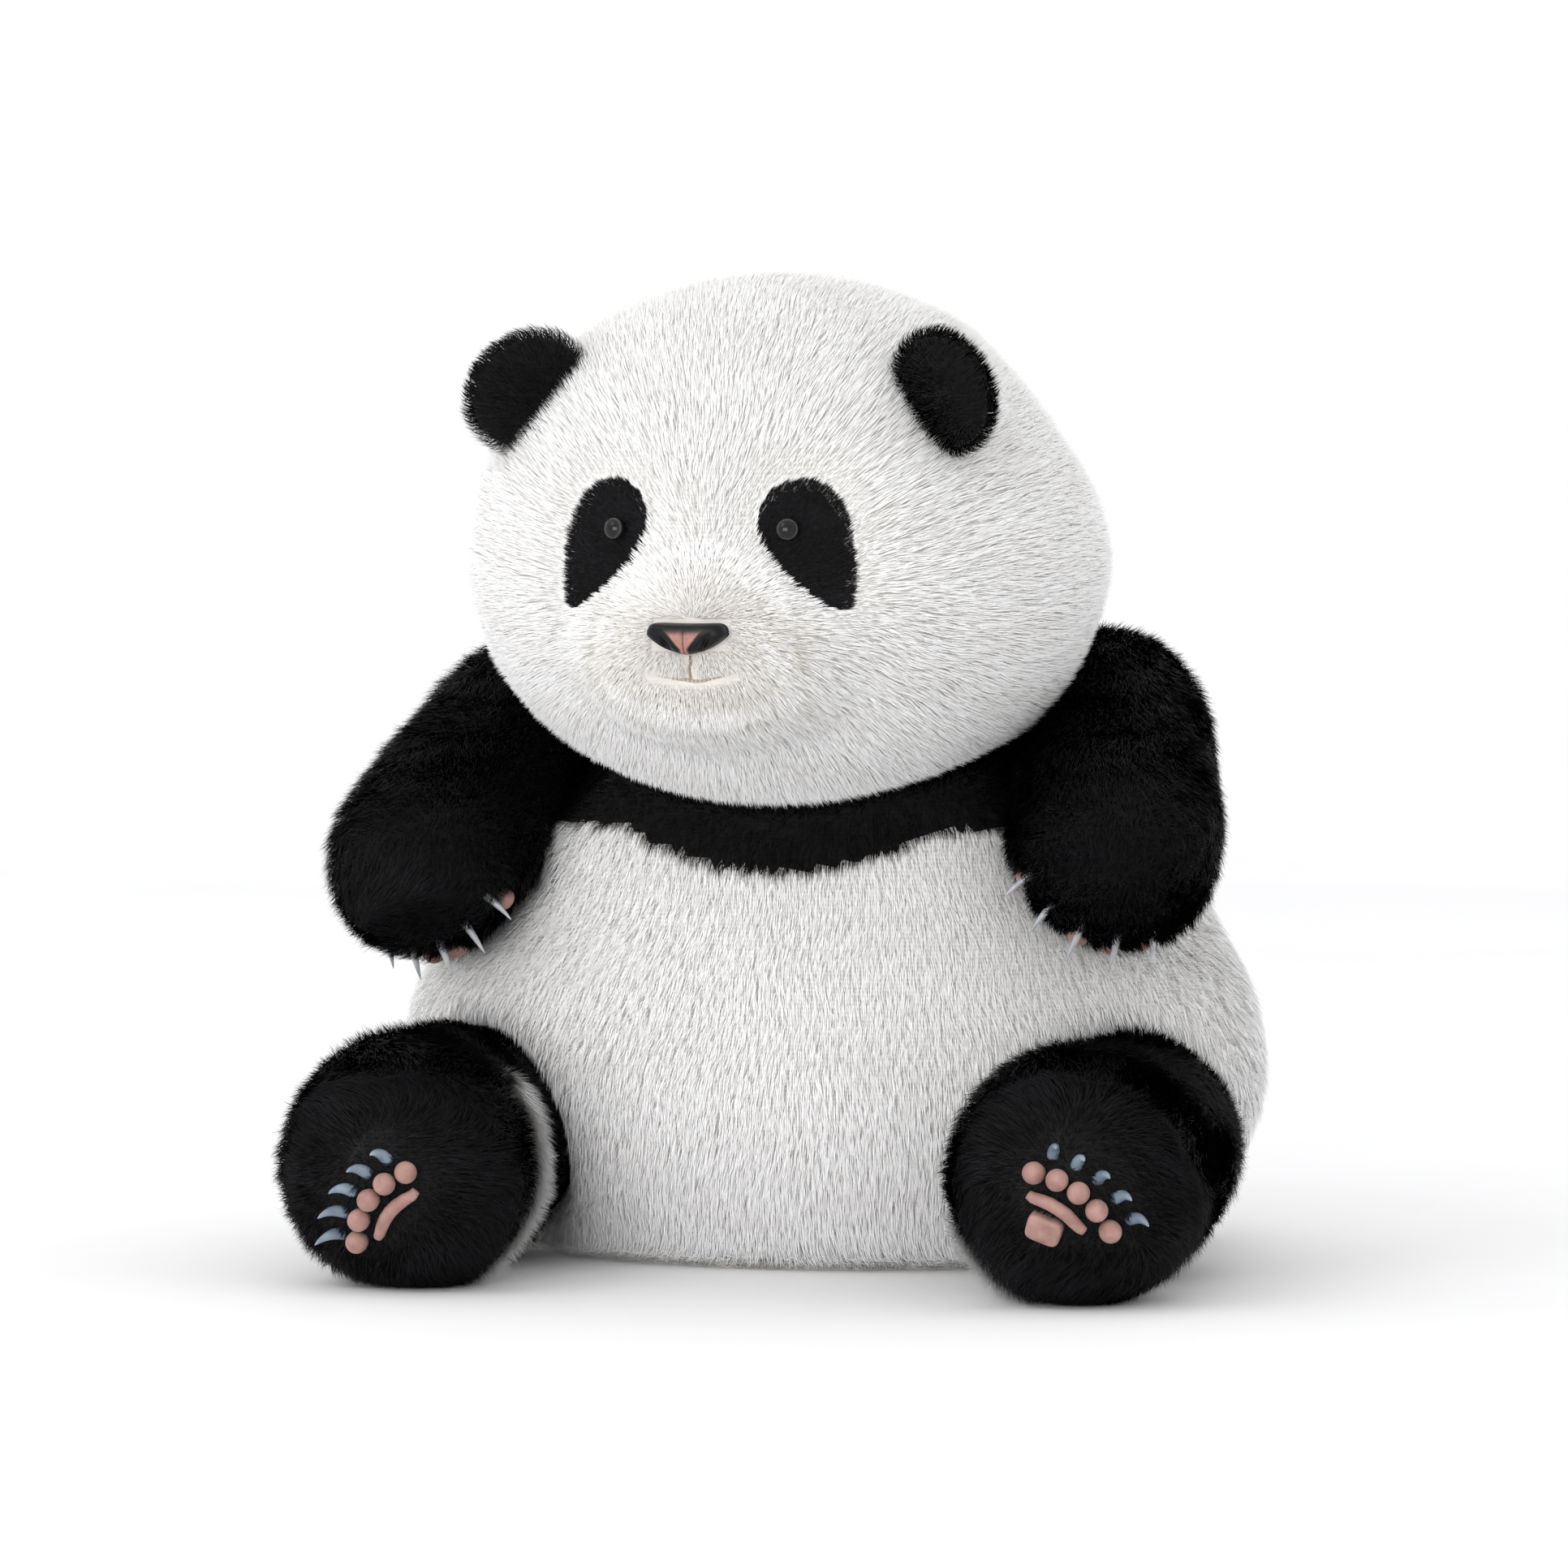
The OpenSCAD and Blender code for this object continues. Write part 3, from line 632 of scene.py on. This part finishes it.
# Where the ivory pile grows: the muzzle's own tint, with the painted shade that darkens it.
ivory_and_shade_area = in_muzzle(roots + waves(roots, 14 * MM, 8) * 4 * MM + chance.normal(size=roots.shape)
                        * 6 * MM, -8 * MM)
groups = (
    ("head_pile", seen & (patch >= 1) & ~ivory_and_shade_area, white_pile, "white_plush", 0.8),
    ("muzzle_pile", seen & (patch >= 1) & ivory_and_shade_area, ivory_and_shade_pile, "ivory_plush", 0.7),
    ("eye_patch_left_pile", seen & (patch < 1) & (face[:, 0] > 0), black_pile, "black_plush", 0.8),
    ("eye_patch_right_pile", seen & (patch < 1) & (face[:, 0] < 0), black_pile, "black_plush", 0.8),
)
for name, chosen, shades, slot, stand in groups:
    strands = grow(roots[chosen], facing[chosen], flow[chosen], length[chosen], stand,
                   glint=BLACK_GLINT if slot == "black_plush" else WHITE_GLINT)
    pile_piece(name, strands, shades, "head")

# ---- Ears -------------------------------------------------------------------------------------
# Two stuffed black flaps, sewn into the head's side seams and leaning outwards.
for side in ("left", "right"):
    furry_lump(f"ear_{side}", f"ear_{side}", "head", "black_plush", black_cloth, black_pile,
               7 * MM, lambda roots: roots - head_centre, stand=0.8, glint=BLACK_GLINT)

# ---- Eyes -------------------------------------------------------------------------------------
# Safety eyes: a clear acrylic dome over a dark iris with a thin grey rim, on a shank through the
# cloth into a washer.
acrylic = new_material("clear acrylic over a painted iris", Roughness=0.05, Coat_Weight=0.1,
                       Coat_Roughness=0.02, IOR=1.49, Specular_IOR_Level=0.3)
tree = acrylic.node_tree
where = add_node(tree, "ShaderNodeTexCoord").outputs["Generated"]
centred = add_node(tree, "ShaderNodeVectorMath", {"operation": "SUBTRACT"}, _0=where,
                   _1=(0.5, 0.5, 0.0))
flat = add_node(tree, "ShaderNodeVectorMath", {"operation": "MULTIPLY"},
                _0=centred.outputs[0], _1=(2.0, 2.0, 0.0))
radius = add_node(tree, "ShaderNodeVectorMath", {"operation": "LENGTH"}, _0=flat.outputs[0])
ring = ramp(tree, radius.outputs["Value"], (0.0, "#020202"), (0.55, "#030303"), (0.66, "#0d0b0a"),
            (0.8, "#171513"), (0.88, "#3c3c3e"), (0.97, "#0a0a0b"))
tree.links.new(ring, tree.nodes["Principled BSDF"].inputs["Base Color"])


def walls(rings, segments):
    """The faces between stacked rings of corners."""
    faces = []
    for row in range(rings - 1):
        a, b = row * segments, (row + 1) * segments
        for i in range(segments):
            j = (i + 1) % segments
            faces.append((a + i, a + j, b + j, b + i))
    return faces


def closed_walls(rings, segments):
    """The faces between stacked rings, with a lid on the first ring and on the last."""
    lids = [tuple(range(segments))[::-1], tuple(range((rings - 1) * segments, rings * segments))]
    return walls(rings, segments) + lids


def lathe(profile, segments=48):
    """A closed form turned about Z from (radius, height) places, bottom to top."""
    turns = [2 * math.pi * i / segments for i in range(segments)]
    points = [(r * math.cos(t), r * math.sin(t), z) for r, z in profile for t in turns]
    return np.array(points), closed_walls(len(profile), segments)


def turned_to(points, at, direction):
    """Points drawn about the origin along +Z, put at a place and turned to a direction."""
    turn = np.array(Vector((0, 0, 1)).rotation_difference(Vector(direction)).to_matrix())
    return points @ turn.T + at


for side, tip in eye_tips.items():
    look = unit((tip - head_centre) / head_half ** 2)
    dome = [(EYE_R * math.cos(t), EYE_R * 0.82 * math.sin(t)) for t in np.linspace(0.3, 1.5, 16)]
    shank = [(1.4 * MM, -15 * MM), (1.5 * MM, -14 * MM), (1.5 * MM, -1.4 * MM)]
    back = [(EYE_R * 0.85, -1.0 * MM), (EYE_R * 0.93, -0.2 * MM)]
    points, faces = lathe(shank + back + dome)
    seat = tip - look * 2.2 * MM
    eye = new_piece(f"eye_{side}_dome", points, faces, [acrylic], "head")
    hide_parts(f"eye_{side}")
    eye.parent = None
    turn = Vector((0, 0, 1)).rotation_difference(Vector(look))
    eye.rotation_mode = "QUATERNION"
    eye.rotation_quaternion = turn
    eye.location = Vector(seat)
    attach(eye, "head")

# ---- Nose and mouth ---------------------------------------------------------------------------
# One moulded vinyl nose: flat along the top, pointed below, sprayed black with a bare pink middle
# and two slit nostrils. The mouth is a pulled thread.
NOSE_HALF_W = 13.8 * MM
NOSE_TOP = 4.4 * MM
NOSE_DROP = 6.6 * MM
NOSE_PROUD = 4.6 * MM

vinyl = new_material("sprayed vinyl", Roughness=0.42, Coat_Weight=0.05, Coat_Roughness=0.3,
                     Specular_IOR_Level=0.2)
tree = vinyl.node_tree
where = add_node(tree, "ShaderNodeTexCoord").outputs["Object"]
split = add_node(tree, "ShaderNodeSeparateXYZ", _0=where)


def math_node(operation, a, b=0.0):
    return add_node(tree, "ShaderNodeMath", {"operation": operation}, _0=a, _1=b).outputs[0]


side_way = math_node("ABSOLUTE", split.outputs["X"])
height = split.outputs["Z"]
flare = math_node("MULTIPLY", math_node("ADD", height, 4.6 * MM), 0.8)
pink_half = math_node("ADD", math_node("MAXIMUM", flare, 0.0), 1.9 * MM)
inside = math_node("DIVIDE", math_node("SUBTRACT", pink_half, side_way), 1.1 * MM)
below_top = math_node("DIVIDE", math_node("SUBTRACT", 2.4 * MM, height), 2.6 * MM)
bare = add_node(tree, "ShaderNodeClamp", _0=math_node("MINIMUM", inside, below_top)).outputs[0]
spray = add_node(tree, "ShaderNodeTexNoise", Vector=where, Scale=900.0, Detail=3.0).outputs["Fac"]
# A thin line down the middle of the bare pink is painted darker: painted shade in the nose's groove.
groove_shade = add_node(tree, "ShaderNodeClamp",
                  _0=math_node("SUBTRACT", 1.0, math_node("DIVIDE", side_way, 0.5 * MM))).outputs[0]
bare = math_node("MULTIPLY", bare, math_node("ADD", 0.75, math_node("MULTIPLY", spray, 0.4)))
bare = math_node("MULTIPLY", bare, math_node("SUBTRACT", 1.0, math_node("MULTIPLY", groove_shade, 0.5)))
tree.links.new(ramp(tree, bare, (0.0, "#08080a"), (0.35, "#2f2726"), (1.0, "#a3766c")),
               tree.nodes["Principled BSDF"].inputs["Base Color"])

segments, rings = 96, 26
nose_mesh_points = []
for ring_at in range(rings + 1):
    share = ring_at / rings
    for i in range(segments):
        t = 2 * math.pi * i / segments
        c, s = math.cos(t), math.sin(t)
        across = min(1.0, abs(c) ** 0.6)
        x = NOSE_HALF_W * math.copysign(across, c)
        if s > 0:
            z = NOSE_TOP * (1 - across ** 9) ** 0.5 - 0.5 * MM * (1 - across ** 2)
        else:
            z = -NOSE_DROP * (0.65 * (1 - across ** 2.6) + 0.35 * (1 - across))
        x, z = x * share, z * share
        y = NOSE_PROUD * (1 - share ** 4) ** 0.5
        out, rise = abs(x) - 6.5 * MM, z + 3.1 * MM
        slit = math.hypot((out * 0.66 + rise * 0.75) / (3.2 * MM),
                          (out * 0.75 - rise * 0.66) / (0.9 * MM))
        y -= 2.4 * MM * math.exp(-slit ** 2)
        y -= 0.5 * MM * math.exp(-(x / (0.7 * MM)) ** 2) * (1 if z < 2 * MM else 0.3)
        nose_mesh_points.append((x, y, z))
back_start = len(nose_mesh_points)
outline = nose_mesh_points[-segments:]
nose_mesh_points += [(x * 0.96, -7 * MM, z * 0.96) for x, y, z in outline]
faces = walls(rings + 2, segments)
faces.append(tuple(range(back_start, back_start + segments))[::-1])
faces.append(tuple(range(segments)))
nose_piece = new_piece("nose_moulding", nose_mesh_points, faces, [vinyl], "head")
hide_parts("nose")
nose_piece.parent = None
nose_piece.rotation_euler = (0, 0, math.atan2(forward[1], forward[0]) - math.pi / 2)
nose_piece.location = Vector(from_face(0, in_face(nose_middle[None])[0][1] - 3.6 * MM,
                                       (nose_top + nose_bottom) / 2 + 0.6 * MM))
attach(nose_piece, "head")

head_tree = BVHTree.FromPolygons([Vector(p) for p in head], head_faces.tolist())


def on_head(x, z, lift):
    """The place on the head's skin straight in front of (x, z), lifted off it."""
    start = from_face(x, 0.3, z)
    met, normal, _, _ = head_tree.ray_cast(Vector(start), Vector(-forward))
    return np.array(met) + np.array(normal) * lift


def tube(path, radii, segments=10):
    """A closed round tube along a path, with a radius at each place."""
    path = np.array(path)
    points = []
    for i, at in enumerate(path):
        way = unit(path[min(i + 1, len(path) - 1)] - path[max(i - 1, 0)])
        turn = Vector((0, 0, 1)).rotation_difference(Vector(way))
        for k in range(segments):
            t = 2 * math.pi * k / segments
            points.append(at + np.array(turn @ Vector((math.cos(t), math.sin(t), 0))) * radii[i])
    return np.array(points), closed_walls(len(path), segments)


def joined(parts):
    """Several (points, faces) as one."""
    points, faces, start = [], [], 0
    for part_points, part_faces in parts:
        points.append(part_points)
        faces += [tuple(i + start for i in f) for f in part_faces]
        start += len(part_points)
    return np.vstack(points), faces


thread = new_material("beige polyester thread", Roughness=0.7, Sheen_Weight=0.3)
tree = thread.node_tree
where = add_node(tree, "ShaderNodeTexCoord").outputs["Object"]
twist = add_node(tree, "ShaderNodeTexWave", Vector=where, Scale=220.0, Distortion=1.0)
tree.links.new(ramp(tree, twist.outputs["Fac"], (0.0, "#8f8272"), (1.0, "#b3a594")),
               tree.nodes["Principled BSDF"].inputs["Base Color"])
upright = [on_head(0, nose_bottom - MOUTH_DROP * t, 1.0 * MM) for t in np.linspace(0.05, 1, 10)]
smile = [on_head(x, nose_bottom - MOUTH_DROP + 2.2 * MM * (x / MOUTH_HALF) ** 2, 0.9 * MM)
         for x in np.linspace(-MOUTH_HALF * 0.75, MOUTH_HALF * 0.75, 28)]
ends = np.sin(np.linspace(0.15, math.pi - 0.15, len(smile))) * 0.55 * MM
points, faces = joined([tube(upright, [0.55 * MM] * 10), tube(smile, ends)])
mouth = new_piece("mouth_thread", points, faces, [thread], "head")
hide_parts("mouth_stitch")

# ---- Limbs ------------------------------------------------------------------------------------
# Four stuffed black limbs. Each ends in a paw with five curved resin claws and a row of toe pads, and
# the feet have a long bar pad too. A white strip is let into the inside of each ankle.


def islands(node):
    """The separate solids of a CAD node, each as its own array of corners."""
    mesh = frame["nodes"][node].data
    points = node_points(node)
    keys = {}
    same = np.array([keys.setdefault(tuple(np.round(p / (0.01 * MM)).astype(int)), i)
                     for i, p in enumerate(points)])
    parent = np.arange(len(points))

    def top(i):
        while parent[i] != i:
            parent[i] = parent[parent[i]]
            i = parent[i]
        return i

    for i, j in enumerate(same):
        parent[top(i)] = top(j)
    for edge in mesh.edges:
        parent[top(edge.vertices[0])] = top(edge.vertices[1])
    groups = {}
    for i in range(len(points)):
        groups.setdefault(top(i), []).append(i)
    return [points[g] for g in groups.values()]


RESIN_LOOK = dict(Subsurface_Scale=0.002, Coat_Weight=0.5, Coat_Roughness=0.15)
resin = speckled("smoky claw resin", "#5f7080", "#8797a5", 160.0, 2.0, Roughness=0.22,
                 Subsurface_Weight=0.35, **RESIN_LOOK)
clear_resin = speckled("milky claw resin", "#8f959b", "#b9bec3", 160.0, 2.0, Roughness=0.2,
                       Subsurface_Weight=0.4, **RESIN_LOOK)
silicone = speckled("pink silicone", "#8c675f", "#ab857b", 220.0, Roughness=0.55,
                    Subsurface_Weight=0.2, Subsurface_Scale=0.002, Sheen_Weight=0.1)

CLAW_R = {"arm": 1.4 * MM, "leg": 2.1 * MM}
CLAW_SHARE = {"arm": 0.72, "leg": 0.85}     # of the CAD claw's length that stays free of the pile
PAD_R = 3.8 * MM
PAW_DEEP = 36 * MM          # how far the middle of a paw lies behind its pads
STRIP_AHEAD = 21 * MM       # how far the white strip's pile is brushed forward over the ankle
PAD_PROUD = {"arm": 3.0 * MM, "leg": 4.0 * MM}


def claw_form(points, paw_centre, bend, thick, share):
    """A curved thorn from a CAD claw: broad at the root, its tip bent one way."""
    middle = points.mean(0)
    _, _, ways = np.linalg.svd(points - middle, full_matrices=False)
    axis = ways[0] if (middle - paw_centre) @ ways[0] > 0 else -ways[0]
    reach = (points - middle) @ axis
    root = middle + axis * (reach.min() - 2 * MM)
    long = (reach.max() - reach.min()) * share + 2 * MM
    steps = np.linspace(0, 1, 14)
    path = [root + axis * long * t * (1 - 0.12 * t) + bend * long * 0.42 * t ** 2 for t in steps]
    radii = thick * (1 - steps ** 1.6) ** 0.8 + 0.12 * MM
    return tube(path, radii, 16)


def dome_form(at, direction, radius, proud):
    """A soft crowned pad standing on a skin."""
    profile = [(radius * math.cos(t) ** 0.8 if t < 1.5 else 0.02 * MM, proud * math.sin(t))
               for t in np.linspace(0, 1.56, 12)]
    points, faces = lathe([(radius * 0.9, -2.5 * MM)] + profile, 32)
    return turned_to(points, at, direction), faces


LIMB_PILE = {"arm": 10.5 * MM, "leg": 11.5 * MM}
limb_bodies = {"arm": ["torso_cover", "shoulder_yoke", "head_cover"], "leg": ["torso_cover"]}
for limb in ("arm", "leg"):
    for side in ("left", "right"):
        body = f"{limb}_{side}"
        sign = 1 if side == "left" else -1
        cover = node_points(f"{body}_cover")
        pad_sets = islands(f"{body}_pads")
        pads_middle = np.mean([p.mean(0) for p in pad_sets], 0)
        joint_name = ("shoulder_" if limb == "arm" else "hip_") + side
        joint_at = np.array(joints[joint_name]["pos_m"])
        box_middle = (cover.min(0) + cover.max(0)) / 2
        run = unit(pads_middle - joint_at)
        points, triangles = cast_skin([f"{body}_cover"], box_middle, 6, 6, wrapped=limb == "arm")
        points[:, 2] = np.maximum(points[:, 2], 1 * MM)
        skin = new_piece(f"{body}_skin", points, triangles, [black_cloth], body)
        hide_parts(f"{body}_cover", f"{body}_stuffing")

        # The paw's middle lies straight behind its pads.
        normals = vertex_normals(points, triangles)
        nearest = np.argsort(np.linalg.norm(points - pads_middle, axis=1))[:40]
        pad_facing = unit(normals[nearest].mean(0))
        paw_centre = pads_middle - pad_facing * PAW_DEEP

        claws = []
        bend = unit(np.array([0, 0, -1.0]) + run * 0.2) if limb == "leg" else pad_facing
        for claw in islands(f"{body}_claws"):
            claws.append(claw_form(claw, paw_centre, bend, CLAW_R[limb], CLAW_SHARE[limb]))
        claw_points, faces = joined(claws)
        piece = new_piece(f"{body}_resin_claws", claw_points, faces,
                          [resin if limb == "leg" else clear_resin], body)
        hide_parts(f"{body}_claws")

        pads = []
        clipped_at = [c.mean(0) for c in islands(f"{body}_claws")]
        for pad in pad_sets:
            middle = pad.mean(0)
            spread = np.linalg.norm(pad.max(0) - pad.min(0))
            if spread > 14 * MM:
                _, _, ways = np.linalg.svd(pad - middle, full_matrices=False)
                reach = (pad - middle) @ ways[0]
                stops = np.linspace(reach.min(), reach.max(), 9)
                path = [pad[np.abs(reach - stop) < 2.6 * MM].mean(0) for stop in stops]
                path = [p + unit(p - paw_centre) * 0.4 * MM for p in path]
                steps = np.linspace(0.1, 0.9, 9)
                pads.append(tube(path, 2.3 * MM * np.sin(math.pi * steps) ** 0.35, 16))
                clipped_at += path
            else:
                facing_out = unit(middle - paw_centre)
                pads.append(dome_form(middle - facing_out * 1.2 * MM, facing_out, PAD_R,
                                      PAD_PROUD[limb]))
                clipped_at.append(middle)
        pad_points, faces = joined(pads)
        piece = new_piece(f"{body}_silicone_pads", pad_points, faces, [silicone], body)
        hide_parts(f"{body}_pads")
        if f"{body}_heel_pad" in frame["nodes"]:
            heel = node_points(f"{body}_heel_pad")
            middle = heel.mean(0)
            facing_out = unit(middle - paw_centre)
            square = [(6 * MM * math.copysign(abs(math.cos(t)) ** 0.45, math.cos(t)),
                       4.8 * MM * math.copysign(abs(math.sin(t)) ** 0.45, math.sin(t)))
                      for t in np.linspace(0, 2 * math.pi, 48, endpoint=False)]
            layers = [(1.0, -3 * MM), (1.0, 0.8 * MM), (0.97, 1.4 * MM), (0.88, 1.9 * MM),
                      (0.5, 2.1 * MM), (0.1, 2.15 * MM)]
            block = np.array([(x * k, y * k, z) for k, z in layers for x, y in square])
            faces = closed_walls(len(layers), len(square))
            x = unit(np.array([1.0, 0, -0.35]) - facing_out * (facing_out @ [1.0, 0, -0.35]))
            turn = np.stack([x, np.cross(facing_out, x), facing_out], 1)
            plate = new_piece(f"{body}_square_pad", block @ turn.T + middle, faces, [silicone], body)
            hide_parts(f"{body}_heel_pad")
            clipped_at.append(middle)

        roots, facing = sow(points, triangles, 1.25)
        room = room_round(roots, limb_bodies[limb])
        sole = ease(0.2, 0.75, facing @ unit(pads_middle - box_middle))
        radial = roots - pads_middle
        flow = run * (1 - sole)[:, None] + unit(radial) * (sole * 1.1)[:, None]
        if limb == "arm":
            flow = flow * 0.6 + run * 0.5 + waves(roots, 45 * MM, 21) * 0.3 + np.array([0, 0, -0.35])
        else:
            flow = flow * 0.45 + waves(roots, 45 * MM, 21) * 0.6 + np.array([0, 0, -0.25])
        length = LIMB_PILE[limb] * uncrushed(room, 10 * MM)
        gap_to = np.min([np.linalg.norm(roots - at, axis=1) for at in clipped_at], 0)
        near, away = (5 * MM, 15 * MM) if limb == "leg" else (3 * MM, 9 * MM)
        length = length * (0.28 + 0.72 * ease(near, away, gap_to))
        seen = room > TOUCHING
        white = np.zeros(len(roots), bool)
        if limb == "leg":
            low, high = (np.array(v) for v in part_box(f"{body}_patch"))
            rough = roots + waves(roots, 6 * MM, 12) * 1.2 * MM
            ahead = STRIP_AHEAD * (1 if side == "right" else ease(34 * MM, 22 * MM, roots[:, 2]) * 1.6)
            white = ((rough[:, 1] > low[1] - ahead) & (rough[:, 1] < high[1] + 8 * MM)
                     & (rough[:, 2] < high[2] - 8 * MM) & (facing[:, 0] * sign < -0.1))
            middles = points[triangles].mean(1)
            chosen = ((middles > low) & (middles < high)).all(1)
            shell_points, shell = shell_over(points, triangles, chosen, 0.1 * MM, 0.6 * MM)
            strip = new_piece(f"{body}_patch_skin", shell_points, shell, [white_cloth], body)
            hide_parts(f"{body}_patch")
            inward = np.array([-sign, -0.4, 0]) * 0.7
            strands = grow(roots[white & seen], facing[white & seen], flow[white & seen] + inward,
                           length[white & seen] * 1.25, 1.0)
            pile_piece(f"{body}_patch_pile", strands, white_pile, body)
        chosen = seen & ~white
        strands = grow(roots[chosen], facing[chosen], flow[chosen], length[chosen], 0.9, 0.36,
                       glint=BLACK_GLINT)
        pile_piece(f"{body}_pile", strands, black_pile, body)

# ---- Inside -----------------------------------------------------------------------------------
# What the covers hide: the turning discs, pins and lock rings, the eye and nose washers, the pellet
# bag and the base panel. They keep the CAD's own shapes.


finishes = {
    "joint_plastic": speckled("moulded joint nylon", "#aeb3b7", "#c5cacd", 90.0, Roughness=0.45),
    "washer_plastic": speckled("pressed washer plastic", "#d5d5d5", "#e9e9e9", 120.0, Roughness=0.5),
    "pellet_cotton": speckled("calico pellet bag", "#c9c3b3", "#e0dccf", 300.0, Roughness=0.95,
                              Sheen_Weight=0.3),
    "white_plush": speckled("base panel twill", "#cfccc5", "#e8e6e1", 350.0, Roughness=0.9,
                            Sheen_Weight=0.3),
}
inside = {
    "joint_plastic": [n for n in frame["nodes"] if n.endswith(("_pin", "_ring", "_disc", "_discs"))],
    "washer_plastic": ["eye_washers", "nose_washer"],
    "pellet_cotton": ["pellet_bag"],
    "white_plush": ["base_panel"],
}
for slot, nodes in inside.items():
    for node in nodes:
        piece = frame["nodes"][node]
        piece.data.materials.clear()
        piece.data.materials.append(finishes[slot])

# ---- Studio -----------------------------------------------------------------------------------
# A pale sweep under the toy, a white surround, a weak key from the upper left and a broad fill in front.
floor_paint = speckled("matt white sweep", "#f4f4f5", "#f8f8f9", 3.0, Roughness=0.9)
sweep_profile = [(-3.0, 0.0), (2.0, 0.0)] + [
    (2.0 + 1.5 * math.sin(t), 1.5 - 1.5 * math.cos(t)) for t in np.linspace(0.1, math.pi / 2, 12)
] + [(3.5, 4.0)]
sweep_points = [(x, y, z) for y, z in sweep_profile for x in (-5.0, 5.0)]
sweep_faces = [(2 * i, 2 * i + 1, 2 * i + 3, 2 * i + 2) for i in range(len(sweep_profile) - 1)]
sweep_mesh = bpy.data.meshes.new("sweep")
sweep_mesh.from_pydata(sweep_points, [], sweep_faces)
sweep_mesh.materials.append(floor_paint)
sweep = bpy.data.objects.new("sweep", sweep_mesh)
bpy.context.scene.collection.objects.link(sweep)
sweep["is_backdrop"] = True

world = bpy.data.worlds.new("surround")
world.use_nodes = True
world.node_tree.nodes["Background"].inputs["Color"].default_value = linear("#ffffff")
world.node_tree.nodes["Background"].inputs["Strength"].default_value = 1.06
bpy.context.scene.world = world


def area_light(name, at, size, watts):
    lamp = bpy.data.lights.new(name, "AREA")
    lamp.size = size
    lamp.energy = watts
    made = bpy.data.objects.new(name, lamp)
    made.location = at
    made.rotation_mode = "QUATERNION"
    made.rotation_quaternion = (Vector((0, 0, 0.15)) - Vector(at)).to_track_quat("-Z", "Y")
    bpy.context.scene.collection.objects.link(made)
    made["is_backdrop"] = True


area_light("key", (-1.1, -1.3, 1.7), 1.2, 6)
area_light("fill", (-0.3, -2.4, 0.15), 1.6, 36)
bpy.context.scene.view_settings.view_transform = "Standard"

CAMERA_AZIMUTH = math.radians(12)
CAMERA_HEIGHT = math.radians(3)
CAMERA_AWAY = 2.6
aim_at = Vector((-0.012, 0, 0.165))
look_from = Vector((math.sin(CAMERA_AZIMUTH) * math.cos(CAMERA_HEIGHT),
                    -math.cos(CAMERA_AZIMUTH) * math.cos(CAMERA_HEIGHT), math.sin(CAMERA_HEIGHT)))
camera = bpy.data.objects.new("camera", bpy.data.cameras.new("camera"))
camera.data.lens = 169.4
camera.location = aim_at + look_from * CAMERA_AWAY
camera.rotation_mode = "QUATERNION"
camera.rotation_quaternion = look_from.to_track_quat("Z", "Y")
bpy.context.scene.collection.objects.link(camera)
bpy.context.scene.camera = camera

low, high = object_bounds()
